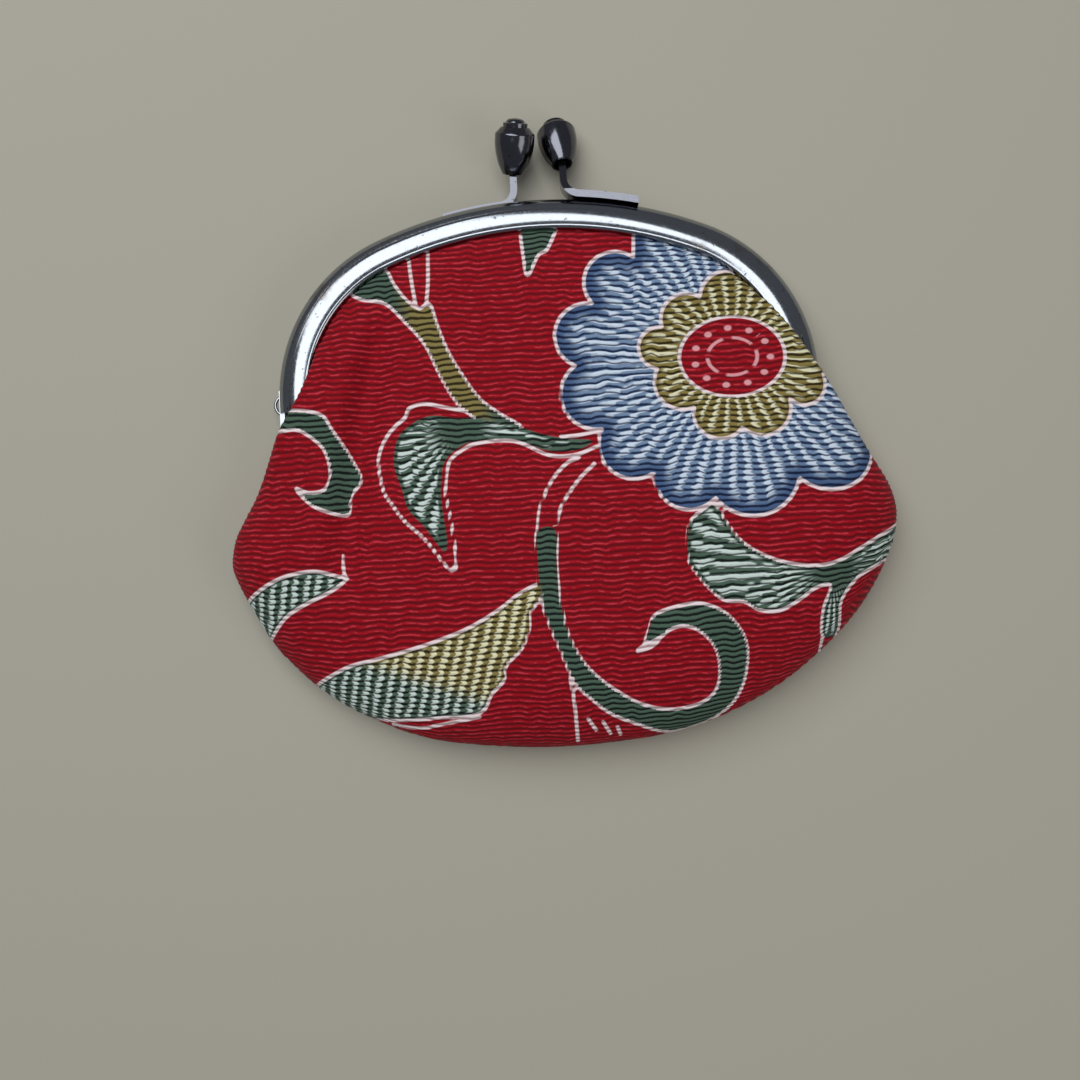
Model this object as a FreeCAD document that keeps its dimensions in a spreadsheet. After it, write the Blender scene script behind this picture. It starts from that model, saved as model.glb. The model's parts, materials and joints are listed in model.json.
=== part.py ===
import FreeCAD, Part
import math
import os
import Sketcher

# Coin purse with a riveted kiss-lock frame, lying on its back.  +Z leaves the front, +Y points from
# the pouch to the clasp, +X is right.  Heights are counted from the parting plane between the frame's
# halves, and lengths along Y from the hinge line, which is the axis of both rivets.

doc = FreeCAD.newDocument("coin_purse")

SIZES = [
    ("hinge_y", 1.03, "hinge line's place along Y, which centres the outline on the origin"),
    ("parting_z", 5.0, "parting plane's height above the surface the purse lies on"),
    # frame halves: a C channel bent along an arch
    ("arch_top", 35.0, "arch's outside above the hinge line"),
    ("arch_radius", 68.0, "flat top arc"),
    ("arch_turn", 26.0, "half width where the top arc turns into the shoulder"),
    ("leg_x", 42.6, "outside of the legs"),
    ("shoulder_y", 5.0, "where the shoulder arc turns into the leg"),
    ("leg_end", 3.4, "legs' lower end"),
    ("half_depth", 4.0, "one frame half from the parting plane to its face"),
    ("face_width", 5.0, "frame's face from the outside to the rolled edge"),
    ("sheet_metal", 0.75, "steel strip's thickness"),
    ("parting_gap", 0.1, "each half's distance from the parting plane"),
    ("corner_radius", 1.6, "height of the channel's outer corner"),
    ("corner_round", 2.6, "round of the outer corner, which meets the face at a soft edge"),
    ("roll_radius", 0.7, "rolled inner edge of the face"),
    ("inner_wall", 4.4, "channel's wall beside the parting plane"),
    ("bead_place", 1.9, "fine bead along the face, from the outside"),
    ("bead_half", 0.15, "bead's half width"),
    ("bead_height", 0.1, "bead's height over the face"),
    ("face_round", 3.0, "slight crown of the face between the bead and the roll"),
    ("lip_reach", 0.105, "lip's edge below the face's underside"),
    ("lip_edge", 0.35, "thickness of the lip's edge"),
    # hinge
    ("ear_radius", 2.6, "round end of each hinge ear"),
    ("ear_gap", 0.1, "gap between the ears"),
    ("ear_root", 7.0, "how far up its leg an ear reaches"),
    ("ear_depth", 2.4, "ear's depth along its leg"),
    ("joggle_start", 0.4, "start of the inner ears' joggle above the leg's end"),
    ("joggle_overlap", 0.3, "overlap that joins the joggle to the leg"),
    ("rivet_radius", 1.0, "rivet's shank"),
    ("rivet_clearance", 0.05, "radial clearance in the ears"),
    ("rivet_head", 1.75, "rivet's head radius"),
    ("inner_head", 1.61, "radius of the rivet's flat inner head"),
    ("head_height", 0.6, "rivet's head height"),
    ("rivet_play", 0.06, "each head's clearance from its ear"),
    # clasp
    ("stem_thickness", 1.1, "bent strip under each knob"),
    ("stem_width", 3.7, "strip's width where it is brazed on the arch"),
    ("stem_neck", 1.7, "strip's width at the knob"),
    ("stem_place", 2.2, "foot's middle from the parting plane"),
    ("stem_bend", 1.9, "inner radius of the strip's bend"),
    ("foot_end", 15.5, "foot's outer end from the middle"),
    ("knob_x", 3.96, "knob's neck from the middle"),
    ("neck_y", 40.1, "back knob's neck above the hinge line"),
    ("front_rise", 1.0, "how much higher the front knob stands"),
    ("knob_tilt", 22.2, "how far each knob leans over the parting plane"),
    ("knob_lean", 6.0, "how far the knobs lean towards each other"),
    ("knob_radius", 3.15, "knob at its rim"),
    ("knob_rim", 6.1, "rim above the neck"),
    ("knob_length", 7.2, "knob's body"),
    ("knob_neck", 1.65, "knob's neck radius"),
    ("knob_bore", 1.3, "bore that takes the strip's tip"),
    ("bore_depth", 2.4, "bore's depth"),
    ("tip_depth", 1.488, "how far the strip's tip reaches into the bore"),
    ("neck_base", 0.05, "neck's lower face above the knob's place"),
    ("swell_radius", 2.835, "knob's radius at the swelling of its side"),
    ("swell_place", 2.867, "swelling above the neck"),
    ("lower_round", 8.19, "round of the side below the swelling"),
    ("upper_round", 9.135, "round of the side above the swelling"),
    ("rim_band", 0.427, "straight band under the rim"),
    ("rim_bevel", 0.22, "rim's bevel across"),
    ("bevel_rise", 0.35, "rim's bevel upwards"),
    ("bevel_round", 0.5, "round of the rim's bevel"),
    ("cap_seat", 0.3, "flat round the cap"),
    ("cap_radius", 1.95, "stepped cap on the knob"),
    ("cap_height", 1.35, "cap's height"),
    ("cap_step", 0.6075, "height of the cap's step"),
    ("step_slope", 0.12, "rise of the step's sloping face"),
    ("cap_inner", 1.521, "cap's radius above its step"),
    ("cap_round", 0.975, "round of the cap's upper edge"),
    ("crown_radius", 1.095, "where the cap's crown begins"),
    ("crown_rise", 0.162, "crown's rise to the middle"),
    ("fit_gap", 0.02, "gap between pieces that are brazed or pressed together"),
    # strap eye
    ("eye_y", 5.2, "middle of the strap eye above the hinge line"),
    ("eye_radius", 1.6, "eye's loop to the wire's centre"),
    ("eye_wire", 0.26, "eye's wire radius"),
    ("eye_depth", 2.0, "eye's place below the parting plane"),
    # pouch
    ("belly_half", 52.8, "half the pouch's widest place"),
    ("belly_y", -18.2, "widest place below the hinge line"),
    ("belly_corner", 10.5, "round of the pouch's widest corners"),
    ("shoulder_angle", 27.0, "slant of the sides below the hinges"),
    ("corner_angle", 24.0, "where the corner turns into the lower round"),
    ("lower_radius", 48.5, "lower round of the outline"),
    ("front_height", 9.4, "front belly above the parting plane"),
    ("back_depth", 5.0, "back belly below the parting plane, flat where it lies"),
    ("cloth", 0.5, "printed crepe"),
    ("interfacing", 0.3, "stiffener between crepe and lining"),
    ("lining", 0.3, "lining"),
    ("cloth_gap", 0.06, "gap between the layers"),
    ("fold_radius", 10.7, "room that the front cloth needs to fold about the hinge line"),
    ("slot_top", 3.1, "crepe's outer side in the channel, above the parting plane"),
    ("mouth_height", 6.3, "front cloth above the parting plane at the hinge line"),
    ("arch_margin", 5.6, "where the cloth leaves the channel, from the frame's outside"),
    ("slot_cover", 2.2, "cloth's edge in the channel, from the frame's outside"),
    ("cord_radius", 0.42, "paper cord that wedges the cloth in the channel"),
    ("cord_setback", 0.2, "cord's middle from the cloth's edge in the channel"),
    ("cord_end", 0.5, "cord's end above the leg's end"),
    ("thread_radius", 0.2, "side seam's thread"),
    ("thread_inset", 0.5, "thread's place inside the lining"),
    ("stitch_stop", -10.0, "where the side seam ends below the hinges"),
]

sheet = doc.addObject("Spreadsheet::Sheet", "sizes")
for row, (name, number, meaning) in enumerate(SIZES, start=1):
    sheet.set("A%d" % row, name)
    sheet.set("B%d" % row, str(number))
    sheet.set("C%d" % row, meaning)
    sheet.setAlias("B%d" % row, name)
doc.recompute()


class Size:
    """A number together with the spreadsheet expression that gives it."""

    def __init__(self, value, text=None):
        self.value = float(value)
        self.text = text if text is not None else "%.9g" % value

    def join(self, other, sign, value):
        return Size(value, "(%s %s %s)" % (self.text, sign, other.text))

    def __add__(self, other):
        other = sized(other)
        return self.join(other, "+", self.value + other.value)

    def __sub__(self, other):
        other = sized(other)
        return self.join(other, "-", self.value - other.value)

    def __mul__(self, other):
        other = sized(other)
        return self.join(other, "*", self.value * other.value)

    def __truediv__(self, other):
        other = sized(other)
        return self.join(other, "/", self.value / other.value)

    def __neg__(self):
        return Size(0.0) - self

    __radd__ = __add__
    __rmul__ = __mul__

    def __rsub__(self, other):
        return sized(other) - self


def sized(number):
    return number if isinstance(number, Size) else Size(number)


def cell(name):
    return Size(sheet.get(name), "sizes." + name)


def root(size):
    return Size(math.sqrt(size.value), "sqrt(%s)" % size.text)


def sine(size):
    return Size(math.sin(math.radians(size.value)), "sin(%s * 1 deg)" % size.text)


def cosine(size):
    return Size(math.cos(math.radians(size.value)), "cos(%s * 1 deg)" % size.text)


hinge_y = cell("hinge_y")
parting_z = cell("parting_z")
ZERO = Size(0.0)
SMALLEST_CUT = 0.001
OVERCUT = 6.0
STRIP_BLANK = Size(16.0)


# ---------------------------------------------------------------- sketches and features

def new_body(name):
    body = doc.addObject("PartDesign::Body", name)
    body.Label = name
    return body


def origin_plane(body, role):
    return [item for item in body.Origin.OriginFeatures if item.Role == role][0]


def new_sketch(body, name, role, offset=ZERO):
    """A sketch on one of its body's origin planes, moved along the plane's normal."""
    sketch = body.newObject("Sketcher::SketchObject", name)
    sketch.AttachmentSupport = [(origin_plane(body, role), "")]
    sketch.MapMode = "FlatFace"
    sketch.AttachmentOffset = FreeCAD.Placement(FreeCAD.Vector(0, 0, offset.value), FreeCAD.Rotation())
    sketch.setExpression("AttachmentOffset.Base.z", offset.text)
    return sketch


def pin(sketch, geometry, end, point):
    """Hold one end of a sketch line or arc at a point given as two sizes."""
    for kind, axis, size in (("DistanceX", -2, point[0]), ("DistanceY", -1, point[1])):
        if size.text == "0":
            sketch.addConstraint(Sketcher.Constraint("PointOnObject", geometry, end, axis))
        else:
            index = sketch.addConstraint(
                Sketcher.Constraint(kind, -1, 1, geometry, end, size.value))
            sketch.setExpression("Constraints[%d]" % index, size.text)


def flat(point):
    return FreeCAD.Vector(point[0].value, point[1].value, 0)


def arc_between(start, end, radius, side):
    """The short arc of that radius, its centre left (+1) or right (-1) of the way from start to end."""
    first, last = flat(start), flat(end)
    chord = last - first
    rise = math.sqrt(max(radius.value ** 2 - chord.Length ** 2 / 4, 0.0))
    normal = FreeCAD.Vector(-chord.y, chord.x, 0).normalize() * side
    centre = (first + last) * 0.5 + normal * rise
    middle = centre - normal * radius.value
    return Part.Arc(first, middle, last)


def trace(sketch, start, steps):
    """Draw steps from start: (point,) is a line, (point, radius, side) an arc."""
    here = start
    first = None
    previous = None
    for step in steps:
        there = step[0]
        if len(step) == 1:
            index = sketch.addGeometry(Part.LineSegment(flat(here), flat(there)))
            begin, end = 1, 2
        else:
            index = sketch.addGeometry(arc_between(here, there, step[1], step[2]))
            begin, end = (1, 2) if step[2] > 0 else (2, 1)
        if previous is None:
            first = (index, begin)
            pin(sketch, index, begin, here)
        else:
            sketch.addConstraint(Sketcher.Constraint("Coincident", *previous, index, begin))
        if there is start:
            sketch.addConstraint(Sketcher.Constraint("Coincident", index, end, *first))
        else:
            pin(sketch, index, end, there)
        if len(step) > 1:
            held = sketch.addConstraint(Sketcher.Constraint("Radius", index, step[1].value))
            sketch.setExpression("Constraints[%d]" % held, step[1].text)
        previous = (index, end)
        here = there
    if sketch.solve() != 0:
        raise ValueError("%s isn't solved" % sketch.Name)
    doc.recompute()


def polygon(sketch, points):
    trace(sketch, points[0], [(point,) for point in points[1:]] + [(points[0],)])


def circle(sketch, centre, radius):
    index = sketch.addGeometry(Part.Circle(flat(centre), FreeCAD.Vector(0, 0, 1), radius.value))
    pin(sketch, index, 3, centre)
    held = sketch.addConstraint(Sketcher.Constraint("Radius", index, radius.value))
    sketch.setExpression("Constraints[%d]" % held, radius.text)
    doc.recompute()


def pad(body, sketch, length):
    feature = body.newObject("PartDesign::Pad", sketch.Name + "_pad")
    feature.Profile = sketch
    feature.Length = length.value
    feature.setExpression("Length", length.text)
    doc.recompute()
    return feature


def pocket(body, sketch):
    """Cut the sketch through everything, both ways, and check that something was cut."""
    before = body.Shape.Volume
    feature = body.newObject("PartDesign::Pocket", sketch.Name + "_cut")
    feature.Profile = sketch
    feature.Type = "ThroughAll"
    feature.Midplane = True
    doc.recompute()
    if body.Shape.Volume > before - SMALLEST_CUT:
        raise ValueError("%s cuts nothing" % sketch.Name)
    return feature


def pipe(body, profile, spine):
    feature = body.newObject("PartDesign::AdditivePipe", profile.Name + "_pipe")
    feature.Profile = profile
    feature.Spine = spine
    doc.recompute()
    return feature


def turned(body, sketch, axis):
    feature = body.newObject("PartDesign::Revolution", sketch.Name + "_turned")
    feature.Profile = sketch
    feature.ReferenceAxis = (sketch, [axis])
    feature.Angle = 360.0
    doc.recompute()
    return feature


def mirror(body, features):
    """Repeat the right side's features on the left."""
    feature = body.newObject("PartDesign::Mirrored", body.Name + "_mirrored")
    feature.Originals = features
    feature.MirrorPlane = (origin_plane(body, "YZ_Plane"), [""])
    body.Tip = feature
    doc.recompute()
    return feature


# ---------------------------------------------------------------- the arch both halves follow

arch_centre_y = hinge_y + cell("arch_top") - cell("arch_radius")
turn_rise = root(cell("arch_radius") * cell("arch_radius") - cell("arch_turn") * cell("arch_turn"))
turn_y = arch_centre_y + turn_rise
leg_turn_y = hinge_y + cell("shoulder_y")
along = turn_y - leg_turn_y
turn_cos = turn_rise / cell("arch_radius")
turn_sin = cell("arch_turn") / cell("arch_radius")
shoulder_radius = along / turn_cos
shoulder_x = cell("leg_x") - shoulder_radius


def arch_path(sketch, inset, end_y):
    """The right half of the arch from its top to the leg's end, moved inwards by inset."""
    radius = cell("arch_radius") - inset
    top = (ZERO, arch_centre_y + radius)
    turn = (radius * turn_sin, arch_centre_y + radius * turn_cos)
    leg = (cell("leg_x") - inset, leg_turn_y)
    foot = (cell("leg_x") - inset, end_y)
    trace(sketch, top, [(turn, radius, -1), (leg, fitted_radius(turn, leg), -1), (foot,)])


def fitted_radius(turn, leg):
    """Radius of the arc that ends upright at leg and passes through turn."""
    wide = leg[0] - turn[0]
    high = turn[1] - leg[1]
    return (wide * wide + high * high) / (2 * wide)


def height(half, distance):
    """A height on the front (+1) or back (-1) half, counted from the parting plane."""
    return parting_z + half * sized(distance)


# ---------------------------------------------------------------- frame halves

def channel_profile(sketch, half):
    """The channel's section at the arch's top: outer wall, face with its bead and roll, parting wall."""
    outside = arch_centre_y + cell("arch_radius")
    metal = cell("sheet_metal")
    corner = cell("corner_radius")
    inner_corner = corner - metal
    roll = cell("roll_radius")
    low = cell("parting_gap")
    top = cell("half_depth")
    bead = cell("bead_half")
    bead_at = outside - cell("bead_place")
    lip = outside - cell("face_width")
    lip_end = top - metal - cell("lip_reach")

    def at(place, distance):
        return (place, height(half, distance))

    side = -half
    trace(sketch, at(outside, low), [
        (at(outside, top - corner),),
        (at(bead_at + bead, top), cell("corner_round"), -side),
        (at(bead_at, top + cell("bead_height")),),
        (at(bead_at - bead, top),),
        (at(lip + roll, top), cell("face_round"), -side),
        (at(lip, top - roll), roll, -side),
        (at(lip, lip_end),),
        (at(lip + cell("lip_edge"), lip_end),),
        (at(lip + roll, top - metal),),
        (at(outside - corner, top - metal),),
        (at(outside - metal, top - corner), inner_corner, side),
        (at(outside - metal, low + metal),),
        (at(outside - cell("inner_wall"), low + metal),),
        (at(outside - cell("inner_wall"), low),),
        (at(outside, low),),
    ])


def ear_outline(sketch, half, root_y):
    """A hinge ear seen from the side: a round end about the rivet and a neck up to the leg."""
    radius = cell("ear_radius")
    low = height(half, cell("parting_gap"))
    far = height(half, radius)
    near = height(half, -radius)
    left = (hinge_y - radius, parting_z)
    bottom = (hinge_y, near)
    rise = root(radius * radius - cell("parting_gap") * cell("parting_gap"))
    right = (hinge_y + rise, low)
    trace(sketch, (hinge_y, far), [
        (left, radius, half),
        (bottom, radius, half),
        (right, radius, half),
        ((hinge_y + root_y, low),),
        ((hinge_y + root_y, far),),
        ((hinge_y, far),),
    ])


def frame_half(name, half):
    """One channel with an ear at each leg.  The front's ears lie outside the back's."""
    body = new_body(name)
    spine = new_sketch(body, name + "_spine", "XY_Plane", height(half, 0))
    arch_path(spine, ZERO, hinge_y + cell("leg_end"))
    profile = new_sketch(body, name + "_section", "YZ_Plane")
    channel_profile(profile, half)
    channel = pipe(body, profile, spine)
    metal = cell("sheet_metal")
    outer_ear = cell("leg_x") - metal
    inner_ear = outer_ear - cell("ear_gap") - metal
    ear_x = outer_ear if half > 0 else inner_ear
    ear = new_sketch(body, name + "_ear", "YZ_Plane", ear_x)
    ear_outline(ear, half, cell("ear_root"))
    features = [channel, pad(body, ear, metal)]
    if half < 0:
        joggle = new_sketch(body, name + "_joggle", "YZ_Plane", inner_ear)
        first = hinge_y + cell("leg_end") + cell("joggle_start")
        last = hinge_y + cell("ear_root")
        near = height(half, cell("parting_gap"))
        far = height(half, cell("ear_depth"))
        polygon(joggle, [(first, near), (last, near), (last, far), (first, far)])
        features.append(pad(body, joggle, metal + cell("ear_gap") + cell("joggle_overlap")))
    hole = new_sketch(body, name + "_hole", "YZ_Plane", ear_x)
    circle(hole, (hinge_y, parting_z), cell("rivet_radius") + cell("rivet_clearance"))
    features.append(pocket(body, hole))
    mirror(body, features)
    return body


def rivet(name, side):
    """Shank through both ears with a flat inner head and a domed outer head."""
    body = new_body(name)
    sketch = new_sketch(body, name + "_half", "XY_Plane", parting_z)
    shank = cell("rivet_radius")
    head = cell("rivet_head")
    flat_head = cell("inner_head")
    thick = cell("head_height")
    inner = cell("leg_x") - 2 * cell("sheet_metal") - cell("ear_gap") - cell("rivet_play")
    outer = cell("leg_x") + cell("rivet_play")

    def at(place, radius):
        return (side * place, hinge_y + radius)

    trace(sketch, at(inner - thick, ZERO), [
        (at(inner - thick, flat_head),),
        (at(inner, flat_head),),
        (at(inner, shank),),
        (at(outer, shank),),
        (at(outer, head),),
        (at(outer + thick, ZERO), (head * head + thick * thick) / (2 * thick), -side),
        (at(inner - thick, ZERO),),
    ])
    turned(body, sketch, "Edge%d" % sketch.GeometryCount)
    return body


# ---------------------------------------------------------------- clasp

def neck_rise(half):
    """How far above the hinge line a half's knob begins."""
    return cell("neck_y") + cell("front_rise") * ((1 + half) / 2)


def stem(name, side, half):
    """A bent strip: a foot along the arch, a tight bend, and a tip that leans over the parting plane."""
    body = new_body(name)
    strip = new_sketch(body, name + "_strip", "XY_Plane")
    thick = cell("stem_thickness")
    bend = cell("stem_bend")
    under = cell("arch_radius") + cell("fit_gap")
    over = under + thick
    tip_y = hinge_y + neck_rise(half) + cell("tip_depth")
    near_x = cell("knob_x") - thick / 2
    far_x = cell("knob_x") + thick / 2

    def on_arch(radius, place):
        return (side * place, arch_centre_y + root(radius * radius - place * place))

    def bend_start(radius, gap, line_x):
        """Where an arc tangent to the upright line and to the arch's concentric line touches them."""
        middle_x = line_x + gap
        reach = radius + gap
        middle_y = arch_centre_y + root(reach * reach - middle_x * middle_x)
        touch_x = middle_x * radius / reach
        touch_y = arch_centre_y + (middle_y - arch_centre_y) * radius / reach
        return (side * line_x, middle_y), (side * touch_x, touch_y)

    outer_bend = bend + thick
    inner_top, inner_foot = bend_start(over, bend, far_x)
    outer_top, outer_foot = bend_start(under, outer_bend, near_x)
    end = cell("foot_end")
    trace(strip, (side * near_x, tip_y), [
        (outer_top,),
        (outer_foot, outer_bend, side),
        (on_arch(under, end), under, -side),
        (on_arch(over, end),),
        (inner_foot, over, side),
        (inner_top, bend, -side),
        ((side * far_x, tip_y),),
        ((side * near_x, tip_y),),
    ])
    pad(body, strip, STRIP_BLANK)

    cut = new_sketch(body, name + "_sides", "YZ_Plane")
    tilt = cell("knob_tilt")
    neck = hinge_y + neck_rise(half)
    lean_from = hinge_y + cell("arch_top") + thick
    foot_mid = -cell("stem_place")
    foot_half = cell("stem_width") / 2
    tip_half = cell("stem_neck") / 2
    slope = sine(tilt) / cosine(tilt)
    far_y = tip_y + OVERCUT
    low_y = hinge_y + cell("arch_top") - OVERCUT

    def middle(place):
        return foot_mid + (place - lean_from) * slope

    def side_cut(sign):
        edge = sign * foot_half
        tip = sign * tip_half
        away = sized(sign * 2 * OVERCUT)
        return [
            (low_y, height(-half, foot_mid + edge)),
            (lean_from, height(-half, foot_mid + edge)),
            (neck, height(-half, middle(neck) + tip)),
            (far_y, height(-half, middle(far_y) + tip)),
            (far_y, height(-half, away)),
            (low_y, height(-half, away)),
        ]

    for sign in (1, -1):
        polygon(cut, side_cut(sign))
    pocket(body, cut)
    return body


def knob_place(side, half):
    """Neck's place, and the turns that lean a knob over the parting plane and towards its partner."""
    tilt = cell("knob_tilt")
    slope = sine(tilt) / cosine(tilt)
    lean_from = cell("arch_top") + cell("stem_thickness")
    rise = -cell("stem_place") + (neck_rise(half) - lean_from) * slope
    place = (side * cell("knob_x"), hinge_y + neck_rise(half), height(-half, rise))
    return place, -half * tilt, side * cell("knob_lean")


def put(body, side, half):
    """Bind the body's placement to the sheet: tilt about X after a lean about Z."""
    place, tilt, lean = knob_place(side, half)
    for axis, size in zip("xyz", place):
        body.setExpression("Placement.Base." + axis, size.text)
    turn = (FreeCAD.Rotation(FreeCAD.Vector(1, 0, 0), tilt.value)
            * FreeCAD.Rotation(FreeCAD.Vector(0, 0, 1), lean.value))
    body.Placement = FreeCAD.Placement(FreeCAD.Vector(*[size.value for size in place]), turn)
    body.setExpression(
        "Placement.Rotation",
        "rotation(vector(1; 0; 0); %s) * rotation(vector(0; 0; 1); %s)" % (tilt.text, lean.text))
    doc.recompute()


def knob(name, side, half):
    """Acorn turned about its own Y: narrow neck, swelling side, rim, shoulder and a bore for the strip."""
    body = new_body(name)
    sketch = new_sketch(body, name + "_half", "XY_Plane")
    rim = cell("knob_rim")
    wide = cell("knob_radius")
    bore = cell("knob_bore")
    depth = cell("bore_depth")
    length = cell("knob_length")
    neck = cell("knob_neck")
    base = cell("neck_base")
    trace(sketch, (ZERO, depth), [
        ((bore, depth),),
        ((bore, base),),
        ((neck, base),),
        ((cell("swell_radius"), cell("swell_place")), cell("lower_round"), 1),
        ((wide, rim - cell("rim_band")), cell("upper_round"), 1),
        ((wide, rim),),
        ((wide - cell("rim_bevel"), rim + cell("bevel_rise")), cell("bevel_round"), 1),
        ((cell("cap_radius") + cell("cap_seat"), length),),
        ((ZERO, length),),
        ((ZERO, depth),),
    ])
    turned(body, sketch, "V_Axis")
    put(body, side, half)
    return body


def knob_cap(name, side, half):
    """Stepped, domed cap on the knob's end."""
    body = new_body(name)
    sketch = new_sketch(body, name + "_half", "XY_Plane")
    base = cell("knob_length") + cell("fit_gap")
    radius = cell("cap_radius")
    step = base + cell("cap_step")
    top = base + cell("cap_height")
    crown = cell("crown_radius")
    rise = cell("crown_rise")
    trace(sketch, (ZERO, base), [
        ((radius, base),),
        ((radius, step),),
        ((cell("cap_inner"), step + cell("step_slope")),),
        ((crown, top - rise), cell("cap_round"), 1),
        ((ZERO, top), (crown * crown + rise * rise) / (2 * rise), 1),
        ((ZERO, base),),
    ])
    turned(body, sketch, "V_Axis")
    put(body, side, half)
    return body


frame_half("front_frame", 1)
frame_half("back_frame", -1)
for rivet_name, rivet_side in (("left_hinge_rivet", -1), ("right_hinge_rivet", 1)):
    rivet(rivet_name, rivet_side)
for word, word_side, word_half in (("back", -1, -1), ("front", 1, 1)):
    stem(word + "_clasp_stem", word_side, word_half)
    knob(word + "_clasp_knob", word_side, word_half)
    knob_cap(word + "_knob_cap", word_side, word_half)


def strap_eye():
    """Half ring of wire on the left leg, lying in the frame's plane."""
    ring = doc.addObject("Part::Torus", "strap_eye")
    ring.Label = "strap_eye"
    for name, size in (("Radius1", cell("eye_radius")), ("Radius2", cell("eye_wire"))):
        ring.setExpression(name, size.text)
    ring.Angle3 = 180
    place = (-(cell("leg_x") + cell("fit_gap")), hinge_y + cell("eye_y"), height(-1, cell("eye_depth")))
    ring.Placement = FreeCAD.Placement(
        FreeCAD.Vector(*[size.value for size in place]),
        FreeCAD.Rotation(FreeCAD.Vector(0, 0, 1), 90))
    for axis, size in zip("xyz", place):
        ring.setExpression("Placement.Base." + axis, size.text)


def paper_cord(name, half):
    """Twisted paper that wedges the cloth in the channel, as one plain tube along the arch."""
    body = new_body(name)
    inset = cell("slot_cover") + cell("cord_setback")
    layers = cell("cloth") + cell("interfacing") + cell("lining") + 3 * cell("cloth_gap")
    middle = height(half, cell("slot_top") - layers - cell("cord_radius"))
    spine = new_sketch(body, name + "_spine", "XY_Plane", middle)
    arch_path(spine, inset, hinge_y + cell("leg_end") + cell("cord_end"))
    profile = new_sketch(body, name + "_section", "YZ_Plane")
    circle(profile, (arch_centre_y + cell("arch_radius") - inset, middle), cell("cord_radius"))
    mirror(body, [pipe(body, profile, spine)])


# ---------------------------------------------------------------- pouch outline

corner_x = cell("belly_half") - cell("belly_corner")
belly_line = hinge_y + cell("belly_y")
corner_sin = sine(cell("corner_angle"))
corner_cos = cosine(cell("corner_angle"))
slant_sin = sine(cell("shoulder_angle"))
slant_cos = cosine(cell("shoulder_angle"))
lower_shift = cell("lower_radius") - cell("belly_corner")
lower_x = corner_x - lower_shift * corner_cos
lower_y = belly_line + lower_shift * corner_sin
pouch_bottom = lower_y - cell("lower_radius")


def seam_thread():
    """Both layers' seam, sewn inside the outline from one stitch stop round the bottom to the other."""
    body = new_body("side_seam_thread")
    layers = cell("cloth") + cell("interfacing") + cell("lining") + 2 * cell("cloth_gap")
    inset = layers + cell("thread_inset")
    lower = cell("lower_radius") - inset
    corner = cell("belly_corner") - inset
    bottom = (ZERO, pouch_bottom + inset)
    lower_start = (lower_x, pouch_bottom + inset)
    lower_end = (lower_x + lower * corner_cos, lower_y - lower * corner_sin)
    corner_end = (corner_x + corner * slant_cos, belly_line + corner * slant_sin)
    stop_y = hinge_y + cell("stitch_stop")
    stop = (corner_end[0] - (stop_y - corner_end[1]) * slant_sin / slant_cos, stop_y)
    spine = new_sketch(body, "seam_spine", "XY_Plane", parting_z)
    trace(spine, bottom, [
        (lower_start,),
        (lower_end, lower, 1),
        (corner_end, corner, 1),
        (stop,),
    ])
    profile = new_sketch(body, "seam_section", "YZ_Plane")
    circle(profile, (bottom[1], parting_z), cell("thread_radius"))
    mirror(body, [pipe(body, profile, spine)])


# ---------------------------------------------------------------- cloth layers
# The layers are doubly curved shells, which no sketch feature makes: each is a loft through upright
# half-ellipse sections, less the same loft moved inwards by the layer's thickness.

def number(size):
    return size.value


HINGE = number(hinge_y)
PARTING = number(parting_z)
CLOTH_GAP = number(cell("cloth_gap"))
LAYERS = {
    "outer": (0.0, number(cell("cloth"))),
    "interfacing": (number(cell("cloth")) + CLOTH_GAP,
                    number(cell("cloth") + cell("interfacing")) + CLOTH_GAP),
    "lining": (number(cell("cloth") + cell("interfacing")) + 2 * CLOTH_GAP,
               number(cell("cloth") + cell("interfacing") + cell("lining")) + 2 * CLOTH_GAP),
}
SEAM_GAP = 0.03        # each panel from the parting plane
LOFT_END = 0.06        # the pouch's last section from its outline
ROUND_END = 0.3        # the belly's round goes on this far past the outline
MOUTH_END = 0.45       # the mouth's last section from its outline
MOUTH_EDGE = 0.75      # the cloth's rise where it leaves the channel
EDGE_NEST = 0.35       # how much of its depth an inner layer loses there
MOUTH_ROUND = 1.4      # power of the mouth's bulge
OUTER_SKIRT, INNER_SKIRT = 1.0, 2.0
HINGE_ROOM = {"inwards": 6.0, "below": 4.4, "above": 3.6}
FLANGE_END = 0.3       # the flange's end above the leg's end
FLANGE_OVERLAP = 0.35  # the flange's overlap with the bulge
PANEL_GAP = 0.5        # the mouth panel's lower edge above the hinge line
LOWER_STOP = 1.0       # the lower panel's upper edge below the hinge line
FAR = 80.0

POUCH_STATIONS = (1.0, 0.9, 0.76, 0.58, 0.4, 0.24, 0.12, 0.04, 0.0)
MOUTH_STATIONS = (0.0, 0.22, 0.45, 0.65, 0.8, 0.9, 0.96, 1.0)


def pouch_half_width(y, inset):
    """Half the pouch's width at a place along Y, inside an outline moved in by inset."""
    corner = number(cell("belly_corner")) - inset
    if y > number(belly_line) + corner * number(slant_sin):
        top_y = number(belly_line) + corner * number(slant_sin)
        top_x = number(corner_x) + corner * number(slant_cos)
        return top_x - (y - top_y) * number(slant_sin) / number(slant_cos)
    if y > number(belly_line) - corner * number(corner_sin):
        return number(corner_x) + math.sqrt(corner ** 2 - (y - number(belly_line)) ** 2)
    lower = number(cell("lower_radius")) - inset
    return number(lower_x) + math.sqrt(max(lower ** 2 - (y - number(lower_y)) ** 2, 0.0))


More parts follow.
